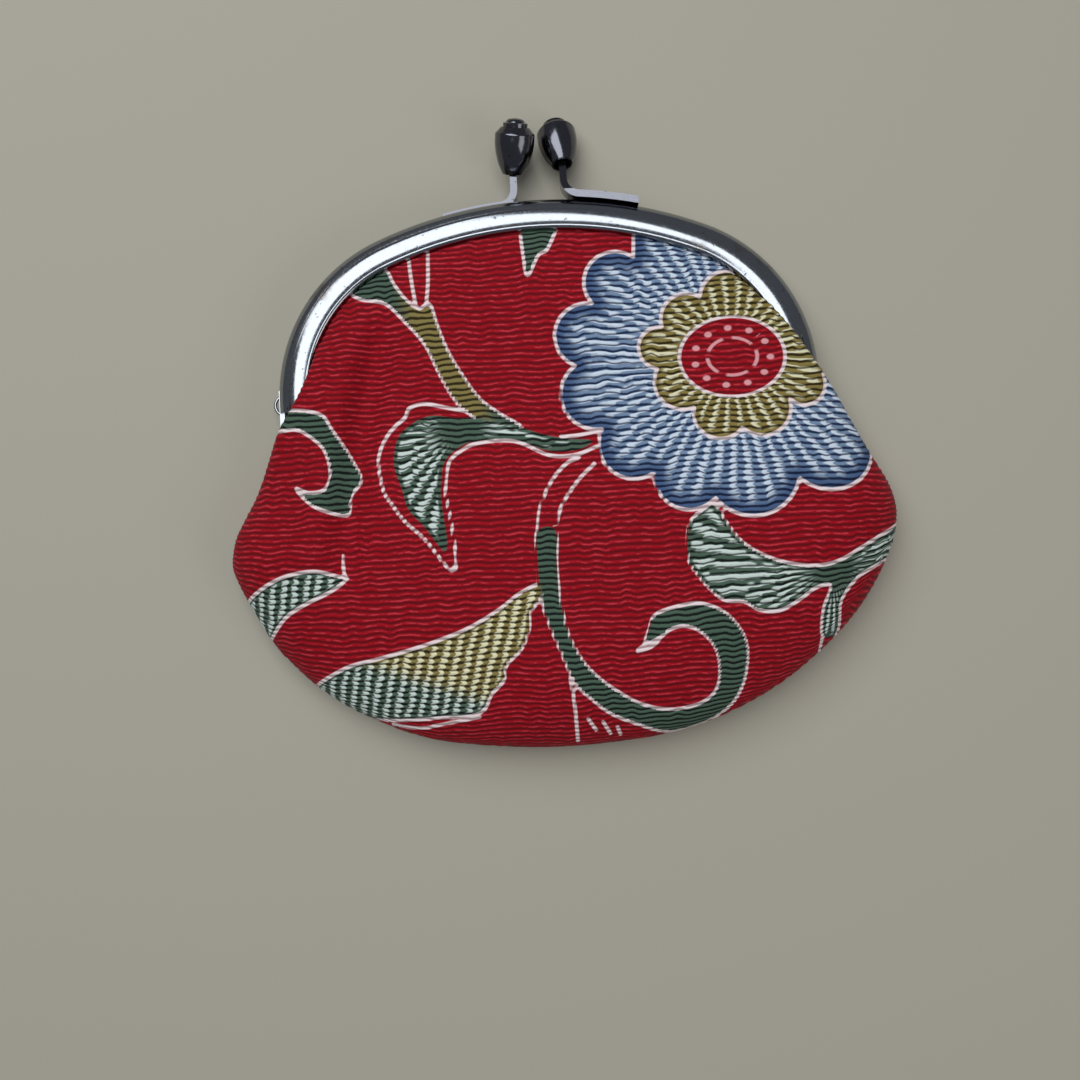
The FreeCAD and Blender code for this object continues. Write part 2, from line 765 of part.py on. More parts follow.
def arch_half_width(y, inset):
    """Half the width inside the arch at a place along Y."""
    if y > number(arch_centre_y) + (number(cell("arch_radius")) - inset) * number(turn_cos):
        return math.sqrt((number(cell("arch_radius")) - inset) ** 2 - (y - number(arch_centre_y)) ** 2)
    if y > number(leg_turn_y):
        shoulder = number(shoulder_radius) - inset
        return number(shoulder_x) + math.sqrt(shoulder ** 2 - (y - number(leg_turn_y)) ** 2)
    return number(cell("leg_x")) - inset


def pouch_height(y):
    """Belly's height over the parting plane: round at the bottom, easing down to the hinge line."""
    belly = number(cell("front_height"))
    if y < number(belly_line):
        reach = (number(belly_line) - y) / (number(belly_line) - number(pouch_bottom) + ROUND_END)
        return belly * math.sqrt(1 - reach ** 2)
    mouth = number(cell("mouth_height"))
    reach = (y - number(belly_line)) / (HINGE - number(belly_line))
    return mouth + (belly - mouth) * math.cos(math.pi / 2 * min(reach, 1.0))


def half_ellipse(y, half_width, base, rise, half, skirt):
    """A half ellipse over a base height, closed by a straight skirt below it."""
    def point(x, over):
        return FreeCAD.Vector(x, y, PARTING + half * (base + over))

    side, crest = point(half_width, 0), point(0, rise)
    far, near = (side, crest) if half_width >= rise else (crest, side)
    arc = Part.ArcOfEllipse(Part.Ellipse(far, near, point(0, 0)), 0, math.pi).toShape()
    low_left, low_right = point(-half_width, -skirt), point(half_width, -skirt)
    edges = [arc, Part.makeLine(point(-half_width, 0), low_left), Part.makeLine(low_left, low_right),
             Part.makeLine(low_right, side)]
    return Part.Wire(Part.__sortEdges__(edges))


def pouch_loft(inset, half, skirt, top):
    """The pouch below the hinge line, as a filled solid."""
    bottom = number(pouch_bottom) + inset + LOFT_END
    wires = []
    for station in POUCH_STATIONS:
        y = bottom + (top - bottom) * station
        rise = pouch_height(y) - inset
        wires.append(half_ellipse(y, pouch_half_width(y, inset), SEAM_GAP, rise, half, skirt))
    return Part.makeLoft(wires, True, False)


def mouth_loft(inset, level, half, skirt, start):
    """The cloth's bulge inside the arch, over its level in the channel, as a filled solid."""
    last = number(arch_centre_y + cell("arch_radius") - cell("arch_margin")) - inset - MOUTH_END
    tall = number(cell("mouth_height")) - level - inset
    wires = []
    for place in MOUTH_STATIONS:
        y = start + (last - start) * place
        reach = (y - HINGE) / (last - HINGE)
        bulge = math.sqrt(max(1 - reach ** 2, 0.0)) ** MOUTH_ROUND
        rise = MOUTH_EDGE - inset * EDGE_NEST + (tall - MOUTH_EDGE) * bulge
        margin = number(cell("arch_margin")) + inset
        wires.append(half_ellipse(y, arch_half_width(y, margin), level, rise, half, skirt))
    return Part.makeLoft(wires, True, False)


def box(x, y, z):
    """A box between two places along each axis."""
    return Part.makeBox(x[1] - x[0], y[1] - y[0], z[1] - z[0], FreeCAD.Vector(x[0], y[0], z[0]))


def half_space(half, from_height):
    """Everything beyond a height on one side of the parting plane."""
    near = PARTING + half * from_height
    return box((-FAR, FAR), (-FAR, FAR), (min(near, near + half * FAR), max(near, near + half * FAR)))


def arch_wire(inset, end_y, z):
    """The whole arch line at an inset, as edges from the right leg over the top to the left leg."""
    radius = number(cell("arch_radius")) - inset
    shoulder = number(shoulder_radius) - inset
    centre_y = number(arch_centre_y)
    turn = FreeCAD.Vector(radius * number(turn_sin), centre_y + radius * number(turn_cos), z)
    middle_angle = (math.pi / 2 - math.asin(number(turn_sin))) / 2
    middle = FreeCAD.Vector(number(shoulder_x) + shoulder * math.cos(middle_angle),
                            number(leg_turn_y) + shoulder * math.sin(middle_angle), z)
    leg = FreeCAD.Vector(number(cell("leg_x")) - inset, number(leg_turn_y), z)
    foot = FreeCAD.Vector(leg.x, end_y, z)
    top = FreeCAD.Vector(0, centre_y + radius, z)

    def left(point):
        return FreeCAD.Vector(-point.x, point.y, point.z)

    edges = [
        Part.makeLine(foot, leg),
        Part.Arc(leg, middle, turn).toShape(),
        Part.Arc(turn, top, left(turn)).toShape(),
        Part.Arc(left(turn), left(middle), left(leg)).toShape(),
        Part.makeLine(left(leg), left(foot)),
    ]
    return edges, foot, left(foot)


def slot_flange(inset, level, thickness, half):
    """The layer's edge that runs into the channel."""
    end_y = HINGE + number(cell("leg_end")) + FLANGE_END
    low = PARTING + half * level
    outer, outer_right, outer_left = arch_wire(number(cell("slot_cover")), end_y, low)
    inside = number(cell("arch_margin")) + inset + FLANGE_OVERLAP
    inner, inner_right, inner_left = arch_wire(inside, end_y, low)
    edges = outer + [Part.makeLine(outer_left, inner_left)] + inner + [
        Part.makeLine(inner_right, outer_right)]
    face = Part.Face(Part.Wire(Part.__sortEdges__(edges)))
    return face.extrude(FreeCAD.Vector(0, 0, half * thickness))


def hinge_room():
    """Boxes at both hinges where no cloth reaches."""
    near = number(cell("leg_x")) - HINGE_ROOM["inwards"]
    along = (HINGE - HINGE_ROOM["below"], HINGE + HINGE_ROOM["above"])
    return [box(across, along, (-FAR, FAR)) for across in ((near, FAR), (-FAR, -near))]


def keep(solids):
    """The largest solid of a result, which leaves no loose crumb."""
    return max(solids, key=lambda solid: solid.Volume)


def mouth_layer(layer, half):
    """One layer inside the arch with its edge in the channel."""
    near, deep = LAYERS[layer]
    thickness = deep - near
    level = number(cell("slot_top")) - deep
    shell = mouth_loft(near, level, half, OUTER_SKIRT, HINGE - OUTER_SKIRT).cut(
        mouth_loft(deep, level, half, INNER_SKIRT, HINGE - INNER_SKIRT))
    shell = shell.common(half_space(half, level))
    return shell.fuse(slot_flange(near, level, thickness, half))


def pouch_layer(layer, half):
    """One layer of the pouch below the hinge line."""
    near, deep = LAYERS[layer]
    shell = pouch_loft(near, half, OUTER_SKIRT, HINGE + OUTER_SKIRT).cut(
        pouch_loft(deep, half, INNER_SKIRT, HINGE + INNER_SKIRT))
    return shell.common(half_space(half, SEAM_GAP))


def add_cloth(name, shape):
    feature = doc.addObject("Part::Feature", name)
    feature.Label = name
    feature.Shape = keep(shape.Solids)
    feature.Placement = FreeCAD.Placement()


def front_upper(name, layer):
    """The front cloth inside the arch, which turns with the front half."""
    shell = mouth_layer(layer, 1)
    above = box((-FAR, FAR), (HINGE + PANEL_GAP, FAR), (-FAR, FAR))
    add_cloth(name, shell.common(above).cut(hinge_room()))


def front_lower(name, layer):
    """The front cloth of the pouch, clear of the room in which the cloth folds."""
    shell = pouch_layer(layer, 1)
    fold = Part.makeCylinder(number(cell("fold_radius")), 2 * FAR,
                             FreeCAD.Vector(-FAR, HINGE, PARTING), FreeCAD.Vector(1, 0, 0))
    above = box((-FAR, FAR), (HINGE - LOWER_STOP, FAR), (-FAR, FAR))
    add_cloth(name, shell.cut([fold, above]))


def back_cloth(name, layer):
    """The back cloth in one piece, flat where the purse lies on it."""
    near, deep = LAYERS[layer]
    level = number(cell("slot_top")) - deep
    depth = number(cell("back_depth"))
    outside = half_space(-1, depth - near)
    inside = half_space(-1, depth - deep)

    def layer_shell(outer_solid, inner_solid, base):
        return outer_solid.cut(outside).cut(inner_solid.cut(inside)).common(half_space(-1, base))

    above = box((-FAR, FAR), (HINGE, FAR), (-FAR, FAR))
    pouch = layer_shell(pouch_loft(near, -1, OUTER_SKIRT, HINGE + OUTER_SKIRT),
                        pouch_loft(deep, -1, INNER_SKIRT, HINGE + INNER_SKIRT), SEAM_GAP)
    mouth = layer_shell(mouth_loft(near, level, -1, OUTER_SKIRT, HINGE - OUTER_SKIRT),
                        mouth_loft(deep, level, -1, INNER_SKIRT, HINGE - INNER_SKIRT), level)
    pouch = pouch.cut(above)
    mouth = mouth.common(above)
    joined = pouch.fuse([mouth, slot_flange(near, level, deep - near, -1)])
    add_cloth(name, joined.cut(hinge_room()).removeSplitter())


strap_eye()
for word, word_half in (("back", -1), ("front", 1)):
    paper_cord(word + "_paper_cord", word_half)
seam_thread()
doc.recompute()

for layer_name, front_name, back_name in (
        ("outer", "outer_front_panel", "outer_back_panel"),
        ("interfacing", "front_interfacing", "back_interfacing"),
        ("lining", "front_lining", "back_lining")):
    front_upper(front_name + "_upper", layer_name)
    front_lower(front_name + "_lower", layer_name)
    back_cloth(back_name, layer_name)
doc.recompute()


# ---------------------------------------------------------------- checks and export

for item in doc.Objects:
    if "Invalid" in item.State or "Error" in item.State:
        raise ValueError("%s isn't built" % item.Name)
parts = [item for item in doc.Objects
         if item.isDerivedFrom("PartDesign::Body") or item.TypeId in ("Part::Torus", "Part::Feature")]
for item in parts:
    if item.Shape.isNull() or not item.Shape.isValid():
        raise ValueError("%s isn't a valid solid" % item.Label)
os.makedirs("parts", exist_ok=True)
for item in parts:
    item.Shape.exportStep("parts/%s.step" % item.Label)
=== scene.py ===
import json
import math

import bpy
import numpy as np
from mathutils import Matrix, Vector


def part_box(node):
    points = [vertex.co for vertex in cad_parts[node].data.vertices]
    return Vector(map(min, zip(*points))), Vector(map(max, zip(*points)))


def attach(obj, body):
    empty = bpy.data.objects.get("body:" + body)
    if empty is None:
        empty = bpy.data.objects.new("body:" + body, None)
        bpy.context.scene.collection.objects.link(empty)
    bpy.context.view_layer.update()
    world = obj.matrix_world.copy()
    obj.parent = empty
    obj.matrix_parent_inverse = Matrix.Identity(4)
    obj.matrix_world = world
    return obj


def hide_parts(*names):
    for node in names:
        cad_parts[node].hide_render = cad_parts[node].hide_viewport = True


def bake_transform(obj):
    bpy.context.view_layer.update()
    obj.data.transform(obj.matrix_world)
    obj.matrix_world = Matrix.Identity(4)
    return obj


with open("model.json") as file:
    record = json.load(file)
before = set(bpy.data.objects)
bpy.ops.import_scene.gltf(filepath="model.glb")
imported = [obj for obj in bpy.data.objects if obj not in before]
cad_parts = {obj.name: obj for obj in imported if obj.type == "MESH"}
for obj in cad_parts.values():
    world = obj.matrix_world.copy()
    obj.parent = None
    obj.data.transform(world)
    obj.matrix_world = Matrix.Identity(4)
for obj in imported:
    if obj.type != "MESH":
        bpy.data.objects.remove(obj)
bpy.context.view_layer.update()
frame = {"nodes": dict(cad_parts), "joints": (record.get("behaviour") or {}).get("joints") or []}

# ---------------------------------------------------------------- sizes, in millimetres
MM = 0.001
hinge = frame["joints"][0]["pos_m"]
HINGE_Y = hinge[1] / MM
PARTING_Z = hinge[2] / MM
frame_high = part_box("front_frame")[1]
LEG_X = frame_high.x / MM
ARCH_TOP = frame_high.y / MM - HINGE_Y
ARCH_RADIUS = 68.0
ARCH_TURN = 26.0
SHOULDER_Y = 5.0
LIP_INSET = 5.2

RIPPLE_PITCH = 0.93
RIPPLE_HEIGHT = 0.08
# Five rows of the crepe's mesh to a ripple.
ROW_STEP = 0.186
# The side seam starts here and runs round below.
SEAM_Y = -10.0

# Heights are measured from the parting plane, places along Y from the hinge line.
arch_centre_y = ARCH_TOP - ARCH_RADIUS
turn_y = arch_centre_y + math.sqrt(ARCH_RADIUS**2 - ARCH_TURN**2)
shoulder_share = (SHOULDER_Y - arch_centre_y) / (turn_y - arch_centre_y)
SHOULDER_RADIUS = ARCH_RADIUS * (1 - shoulder_share)
SHOULDER_X = ARCH_TURN * shoulder_share


# ---------------------------------------------------------------- plane curves
def smooth(points, closed=False, steps=6):
    """A soft curve through given points."""
    p = np.array(points, float)
    if closed:
        p = np.vstack([p[-1:], p, p[:2]])
    else:
        p = np.vstack([2 * p[0] - p[1], p, 2 * p[-1] - p[-2]])
    t = (np.arange(steps) / steps)[None, :, None]
    a, b, c, d = p[:-3, None], p[1:-2, None], p[2:-1, None], p[3:, None]
    curve = b + 0.5 * ((c - a) * t + (2 * a - 5 * b + 4 * c - d) * t**2 + (3 * b - a - 3 * c + d) * t**3)
    curve = curve.reshape(-1, 2)
    return curve if closed else np.vstack([curve, p[-2:-1]])


def scallops(lobes, steps=10):
    """A closed outline of round lobes.

    Each is given by its first notch and by how far it bulges to the right of its chord.
    """
    outline = []
    for (x0, y0, bulge), (x1, y1, _) in zip(lobes, lobes[1:] + lobes[:1]):
        chord = math.hypot(x1 - x0, y1 - y0)
        half = -2 * math.atan(2 * bulge / chord)
        radius = chord / (2 * math.sin(half))
        along = np.array([x1 - x0, y1 - y0]) / chord
        out = np.array([-along[1], along[0]])
        middle = np.array([x0 + x1, y0 + y1]) / 2 - out * radius * math.cos(half)
        for angle in np.linspace(-half, half, steps, endpoint=False):
            outline.append(middle + radius * (math.sin(angle) * along + math.cos(angle) * out))
    return np.array(outline)


def ends(line, closed):
    """The start and the end of each run of the line."""
    return (line, np.roll(line, -1, 0)) if closed else (line[:-1], line[1:])


def distance(at, line, closed=True):
    """How far each point is from the line."""
    best = np.full(len(at), np.inf)
    for a, b in zip(*ends(line, closed)):
        ab = b - a
        t = np.clip(((at - a) @ ab) / max(ab @ ab, 1e-9), 0, 1)
        off = at - a - t[:, None] * ab
        best = np.minimum(best, off[:, 0] ** 2 + off[:, 1] ** 2)
    return np.sqrt(best)


def inside(at, line):
    """Whether each point is inside the closed line."""
    crossings = np.zeros(len(at), bool)
    x, y = at.T
    for (x0, y0), (x1, y1) in zip(*ends(line, True)):
        if y0 != y1:
            crossings ^= ((y0 > y) != (y1 > y)) & (x < x0 + (y - y0) * (x1 - x0) / (y1 - y0))
    return crossings


def signed(at, line):
    """How far each point is inside the closed line, below zero outside it."""
    away = distance(at, line)
    return np.where(inside(at, line), away, -away)


def ease(value, start, end):
    """0 at start and 1 at end, with a soft step between them."""
    t = np.clip((value - start) / (end - start), 0, 1)
    return t * t * (3 - 2 * t)


def table(value, pairs):
    """A piecewise line through (place, value) pairs."""
    places, values = zip(*pairs)
    return np.interp(value, places, values)


def lattice_noise(x, y, cell_x, cell_y, seed):
    """Smooth noise from -1 to 1 with its own fixed seed."""
    size = 97
    values = np.random.default_rng(seed).uniform(-1, 1, (size, size))
    u, v = x / cell_x, y / cell_y
    i, j = np.floor(u).astype(int), np.floor(v).astype(int)
    fu, fv = u - i, v - j
    fu, fv = fu * fu * (3 - 2 * fu), fv * fv * (3 - 2 * fv)
    i0, i1, j0, j1 = i % size, (i + 1) % size, j % size, (j + 1) % size
    low = values[i0, j0] * (1 - fu) + values[i1, j0] * fu
    high = values[i0, j1] * (1 - fu) + values[i1, j1] * fu
    return low * (1 - fv) + high * fv


# ---------------------------------------------------------------- the pouch's outline
ARC_STEPS = 40
LEG_END = -6


def arch_line(inset, left_end, right_end):
    """The frame's arch moved inwards, from the left over the top to the right."""
    turn = math.asin(ARCH_TURN / ARCH_RADIUS)
    top_radius, shoulder_radius = ARCH_RADIUS - inset, SHOULDER_RADIUS - inset
    top = [
        (top_radius * math.sin(a), arch_centre_y + top_radius * math.cos(a))
        for a in np.linspace(0, turn, ARC_STEPS)
    ]
    shoulder = [
        (SHOULDER_X + shoulder_radius * math.sin(a), SHOULDER_Y + shoulder_radius * math.cos(a))
        for a in np.linspace(turn, math.pi / 2, ARC_STEPS)[1:]
    ]
    leg = [(LEG_X - inset, y) for y in np.arange(SHOULDER_Y - 1, LEG_END, -1)]
    right = top + shoulder + leg
    left = [(-x, y) for x, y in reversed(right[1:])]
    kept = [p for p in left if p[1] > left_end] + [p for p in right if p[1] > right_end]
    return np.array(kept)


# Points round the pouch: down the right, along the bottom and up the left. Then where each panel leaves
# the frame's arch and goes down to the seam, on the right and on the left.
RIGHT_SIDE = [
    (52.7, -11.5), (53.9, -14.9), (54.1, -17.9), (53.2, -22.0), (50.8, -27.0), (47.5, -31.9),
    (43.0, -36.7), (37.2, -41.4), (30.9, -45.3), (23.6, -48.4), (16.2, -50.3), (8.9, -51.2), (1.0, -51.6),
]
LEFT_SIDE = [
    (-6.5, -51.4), (-12.9, -50.8), (-19.8, -49.7), (-25.5, -48.0), (-29.8, -46.0), (-34.2, -43.7),
    (-38.9, -40.3), (-42.5, -36.8), (-45.8, -32.8), (-48.7, -27.5), (-50.4, -24.2), (-51.6, -20.9),
    (-51.6, -18.7), (-50.9, -15.8), (-49.3, -12.8),
]
FRONT_RIGHT = [(34.9, 16.3), (38.1, 12.3), (40.3, 9.0), (42.8, 5.0), (45.5, 0.9), (49.6, -6.3)]
FRONT_LEFT = [(-47.0, -8.8), (-44.7, -3.9), (-42.5, 0.3), (-40.4, 3.6), (-38.4, 7.0), (-36.6, 10.8)]
BACK_RIGHT = [(37.6, 8.4), (38.9, 6.0), (40.7, 3.6), (42.9, 1.0), (45.2, -1.8), (48.2, -5.2)]
BACK_LEFT = [(-45.6, -6.4), (-43.3, -1.8), (-41.7, 1.0), (-40.1, 3.5), (-38.7, 6.0), (-37.6, 8.4)]

# Where the cloth comes out of the channel, on the left and on the right.
FRONT_ARCH_ENDS = (11.6, 17.4)
BACK_ARCH_ENDS = (9.2, 9.2)

FRONT_LINE = np.vstack([
    arch_line(LIP_INSET, *FRONT_ARCH_ENDS),
    smooth(FRONT_RIGHT + RIGHT_SIDE + LEFT_SIDE + FRONT_LEFT),
])
BACK_LINE = np.vstack([
    arch_line(LIP_INSET, *BACK_ARCH_ENDS),
    smooth(BACK_RIGHT + RIGHT_SIDE + LEFT_SIDE + BACK_LEFT),
])


def moved_in(line, amount):
    """The closed line moved inwards."""
    ahead = np.roll(line, -1, 0) - np.roll(line, 1, 0)
    ahead /= np.linalg.norm(ahead, axis=1)[:, None]
    inwards = np.stack([ahead[:, 1], -ahead[:, 0]], 1)
    return line + inwards * amount


# ---------------------------------------------------------------- panels
# Against the place along Y: the edge's height on each side, the belly's height, and how far in from the
# edge the cloth rounds over. tuck is where the edge comes to lie in the channel.
FRONT = {
    "side": 1,
    "line": FRONT_LINE,
    "edge_left": [(SEAM_Y, 0.04), (-6, 1.1), (-4, 1.9), (-1.5, 3.4), (0.6, 4.7), (11, 4.75), (14.5, 3.0)],
    "edge_right": [(SEAM_Y, 0.04), (-5, 1.3), (-1, 2.2), (2.2, 3.4), (5.2, 4.7), (16.8, 4.75), (20.5, 3.0)],
    "belly": [(-52, 9.3), (-20, 9.4), (-12, 9.0), (-6, 8.1), (0, 6.9), (8, 6.1), (20, 5.4), (31, 4.5)],
    "reach": [(-52, 25), (-12, 24), (-4, 17), (4, 10), (30, 7)],
    "tuck_left": (11.8, 14.0),
    "tuck_right": (17.8, 20.0),
}
BACK = {
    "side": -1,
    "line": BACK_LINE,
    "edge_left": [(SEAM_Y, 0.04), (-5, 2.4), (-1.5, 3.7), (1.5, 4.6), (8, 4.65), (11.5, 3.0)],
    "edge_right": [(SEAM_Y, 0.04), (-5, 2.4), (-1.5, 3.7), (1.5, 4.6), (8, 4.65), (11.5, 3.0)],
    "belly": [(-52, 4.93), (-8, 4.93), (4, 4.85), (31, 4.4)],
    "reach": [(-52, 10), (-10, 10), (4, 7), (30, 7)],
    "tuck_left": (9.0, 11.0),
    "tuck_right": (9.0, 11.0),
}
# How square the rounding is: 2 would be an ellipse.
ROUNDNESS = 2.3

# The soft fold's line, where it fades in and out, and its ridge and hollow: the height, place and width.
FOLD_LINE = [(-30, -34.5), (-20, -33.2), (-8, -31.6), (4, -29.4), (17, -26.5)]
FOLD_IN, FOLD_OUT = (-30, -14), (12, 21)
FOLD_RIDGE, FOLD_HOLLOW = (1.2, -5.0, 3.4), (-1.8, 0.8, 2.7)

# The edge's height goes from its left value to its right one over this stretch of X.
SIDE_CHANGE = (-20, 20)
# The front cloth lies loose from this far inside its edge, in low waves of this length and width.
LOOSE = (0.5, 9)
WAVE_HEIGHT, WAVE_SIZE, WAVE_SEED = 0.3, (17, 13), 5
# The lining sags clear of the outer cloth where both fold as the purse opens: how far, and where along Y.
FOLD_SAG = 3.0
SAG_IN, SAG_OUT = (-10.5, -7.0), (-5.0, 0.5)
LEAST_LINING_HEIGHT = 0.1

# The strip along the edge, in shares of its width. It goes this far into the channel or in from the seam.
HEM = np.array([0.25, 0.5, 0.75, 1.0])
HEM_WIDTH = 1.5
# How far above the seam's start the strip stops being turned in.
SEAM_FADE = 5
# Between the channel and the seam it rolls under: how far it swells, turns back and drops, and how soon.
ROLL_OUT, ROLL_BACK, ROLL_DROP, ROLL_RATE = 0.25, 1.2, 0.55, 1.4
ROLL_BACK_START = 0.5
LEAST_HEM_HEIGHT = 0.03
# Keeps the first and last rows just inside the outline's lowest and highest points.
ROW_MARGIN = 0.004


def rounded(share):
    """The height's share at a share of the way in from the edge."""
    share = np.clip(share, 0, 1)
    return (1 - (1 - share) ** ROUNDNESS) ** (1 / ROUNDNESS)


def row_places(low, high, step, soft=8):
    """Places from low to high, closer together at both ends."""
    count = int((high - low) / step) + soft
    weights = np.minimum(1, np.minimum(np.arange(count) + 0.5, count - np.arange(count) - 0.5) / soft)
    places = np.concatenate([[0], np.cumsum(weights)])
    return low + (high - low) * places / places[-1]


def side_ends(line, rows):
    """The outline's left and right X at each row."""
    top, bottom = np.argmax(line[:, 1]), np.argmin(line[:, 1])
    loop = np.roll(line, -top, 0)
    split = (bottom - top) % len(line)
    right, left = loop[: split + 1], np.vstack([loop[split:], loop[:1]])
    right_x = np.interp(rows, right[::-1, 1], right[::-1, 0])
    left_x = np.interp(rows, left[:, 1], left[:, 0])
    return left_x, right_x


def swell(off, height, place, width):
    """A soft upright ridge, or a hollow where its height is below zero."""
    return height * np.exp(-(((off - place) / width) ** 2))


def soft_fold(x, y):
    """The soft upright fold left of the middle, a ridge with a hollow on its right."""
    off = x - table(y, FOLD_LINE)
    strength = ease(y, *FOLD_IN) * (1 - ease(y, *FOLD_OUT))
    return strength * (swell(off, *FOLD_RIDGE) + swell(off, *FOLD_HOLLOW))


def surface(panel, x, y, border, sink=0.0):
    """Height over the parting plane, from the place in plan and how far it is from the outline."""
    left, right = table(y, panel["edge_left"]), table(y, panel["edge_right"])
    edge = left + (right - left) * ease(x, *SIDE_CHANGE)
    belly = table(y, panel["belly"])
    reach = table(y, panel["reach"])
    height = edge + (belly - edge) * rounded(border / reach)
    if panel["side"] > 0:
        waves = WAVE_HEIGHT * lattice_noise(x, y, *WAVE_SIZE, WAVE_SEED)
        height += ease(border, *LOOSE) * (soft_fold(x, y) + waves)
    if sink:
        sag = FOLD_SAG * ease(y, *SAG_IN) * (1 - ease(y, *SAG_OUT)) if panel["side"] > 0 else 0.0
        height = height - sink - sag
    return np.maximum(height, LEAST_LINING_HEIGHT if sink else 0.0)


def excess_length(panel, steps=60, far_in=200):
    """Length that the rounded lower edge adds to the cloth, against the distance from the outline."""
    belly, reach = panel["belly"][0][1], panel["reach"][0][1]
    t = np.concatenate([np.linspace(0, 1, steps) ** 2 * reach, [far_in]])
    h = belly * rounded(t / reach)
    added = np.hypot(np.diff(t), np.diff(h)) - np.diff(t)
    return t, np.concatenate([[0], np.cumsum(added)])


def hem(panel, edge, heights, first):
    """The strip turned in along the edge: its points, their heights and its faces."""
    on_right = edge[:, 0] > 0
    ahead = np.roll(edge, -1, 0) - np.roll(edge, 1, 0)
    ahead /= np.maximum(np.linalg.norm(ahead, axis=1), 1e-6)[:, None]
    outwards = np.stack([ahead[:, 1], -ahead[:, 0]], 1)
    tuck_left, tuck_right = ease(edge[:, 1], *panel["tuck_left"]), ease(edge[:, 1], *panel["tuck_right"])
    tucked = np.where(on_right, tuck_right, tuck_left)
    sewn = 1 - ease(edge[:, 1], SEAM_Y, SEAM_Y + SEAM_FADE)
    plans, drops, rings = [], [], []
    for share in HEM:
        rolled = min(1, share * ROLL_RATE)
        out = tucked * HEM_WIDTH * share
        out += (1 - tucked) * sewn * -HEM_WIDTH * share
        turned_under = ROLL_OUT * math.sin(math.pi * rolled) - ROLL_BACK * max(0, share - ROLL_BACK_START)
        out += (1 - tucked) * (1 - sewn) * turned_under
        drop = (1 - tucked) * (1 - sewn) * ROLL_DROP * math.sin(math.pi / 2 * rolled)
        rings.append(first + len(rings) * len(edge) + np.arange(len(edge)))
        plans.append(edge + outwards * out[:, None])
        drops.append(np.maximum(heights - drop, LEAST_HEM_HEIGHT))
    return plans, drops, rings


def make_panel(name, panel, columns, row_step, inset=0.0, sink=0.0):
    """One cloth panel: a grid inside the outline, and a strip turned in along the edge."""
    line = moved_in(panel["line"], inset)
    low, high = line[:, 1].min(), line[:, 1].max()
    rows = row_places(low + ROW_MARGIN, high - ROW_MARGIN, row_step)
    left_x, right_x = side_ends(line, rows)
    u = np.sin(np.linspace(-1, 1, columns) * math.pi / 2)
    x = (left_x + right_x)[:, None] / 2 + (right_x - left_x)[:, None] / 2 * u
    y = np.repeat(rows[:, None], columns, 1)
    plan = np.stack([x.ravel(), y.ravel()], 1)
    border = distance(plan, line)
    border.reshape(x.shape)[:, [0, -1]] = 0
    z = surface(panel, plan[:, 0], plan[:, 1], border, sink)

    grid = np.arange(len(plan)).reshape(x.shape)
    faces = np.stack([grid[:-1, :-1], grid[:-1, 1:], grid[1:, 1:], grid[1:, :-1]], -1).reshape(-1, 4)

    loop = np.concatenate([grid[:, -1], grid[::-1, 0]])
    hem_plans, hem_heights, rings = hem(panel, plan[loop], z[loop], len(plan))
    rings = [loop] + rings
    for inner, outer in zip(rings, rings[1:]):
        strip = np.stack([inner, outer, np.roll(outer, -1), np.roll(inner, -1)], 1)
        faces = np.vstack([faces, strip])
    plan = np.vstack([plan] + hem_plans)
    z = np.concatenate([z] + hem_heights)
    if panel["side"] < 0:
        faces = faces[:, ::-1]
    co = np.stack([plan[:, 0], plan[:, 1] + HINGE_Y, PARTING_Z + panel["side"] * z], 1)

    mesh = bpy.data.meshes.new(name)
    mesh.from_pydata((co * MM).tolist(), [], faces.tolist())
    mesh.update()
    return mesh, plan


# Roughly the pouch's lowest Y at each X. The ripples are measured along the rounded cloth from there.
LOWER_EDGE = [
    (-52, -20), (-46, -33), (-35, -43), (-20, -49.7), (0, -51.6), (20, -49.4), (37, -41.5), (54, -20),
]
# How the ripples waver: the amount, its length and width, and the seed.
WAVERS = [(0.27, 1.45, 4.6, 11), (0.11, 1.0, 1.3, 12), (0.35, 8.5, 6.5, 13)]
# How uneven the ripples' height is: the mean, the spread, and its noise.
RIPPLE_MEAN, RIPPLE_SPREAD, RIPPLE_NOISE = 0.75, 0.35, (2.2, 1.0, 14)
# How far a ripple's middle is sunk into the cloth, as a share of its height.
RIPPLE_SINK = 0.2
# No point of the cloth is lower than this above the floor.
FLOOR_GAP = 0.02


def add_ripples(mesh, panel, plan):
    """Crepe ripples across the cloth, as shape and as a phase for the shader."""
    x, y = plan.T
    t, excess = excess_length(panel)
    along = y - (excess[-1] - np.interp(y - table(x, LOWER_EDGE), t, excess))
    waver = sum(amount * lattice_noise(x, y, *size_and_seed) for amount, *size_and_seed in WAVERS)
    phase = 2 * math.pi * (along + waver) / RIPPLE_PITCH
    rough = RIPPLE_MEAN + RIPPLE_SPREAD * lattice_noise(x, y, *RIPPLE_NOISE)
    lift = RIPPLE_HEIGHT * rough * (np.sin(phase) - RIPPLE_SINK)
    count = len(mesh.vertices)
    co, normals = np.empty(count * 3, np.float32), np.empty(count * 3, np.float32)
    mesh.vertices.foreach_get("co", co)
    mesh.vertex_normals.foreach_get("vector", normals)
    co = co.reshape(-1, 3) + normals.reshape(-1, 3) * (lift * MM)[:, None]
    co[:, 2] = np.maximum(co[:, 2], FLOOR_GAP * MM)
    mesh.vertices.foreach_set("co", co.astype(np.float32).ravel())
    store(mesh, "ripple", phase)


def store(mesh, name, values):
    """One number at each of the mesh's points, for the shader."""
    attribute = mesh.attributes.new(name, "FLOAT", "POINT")
    attribute.data.foreach_set("value", np.asarray(values, np.float32))


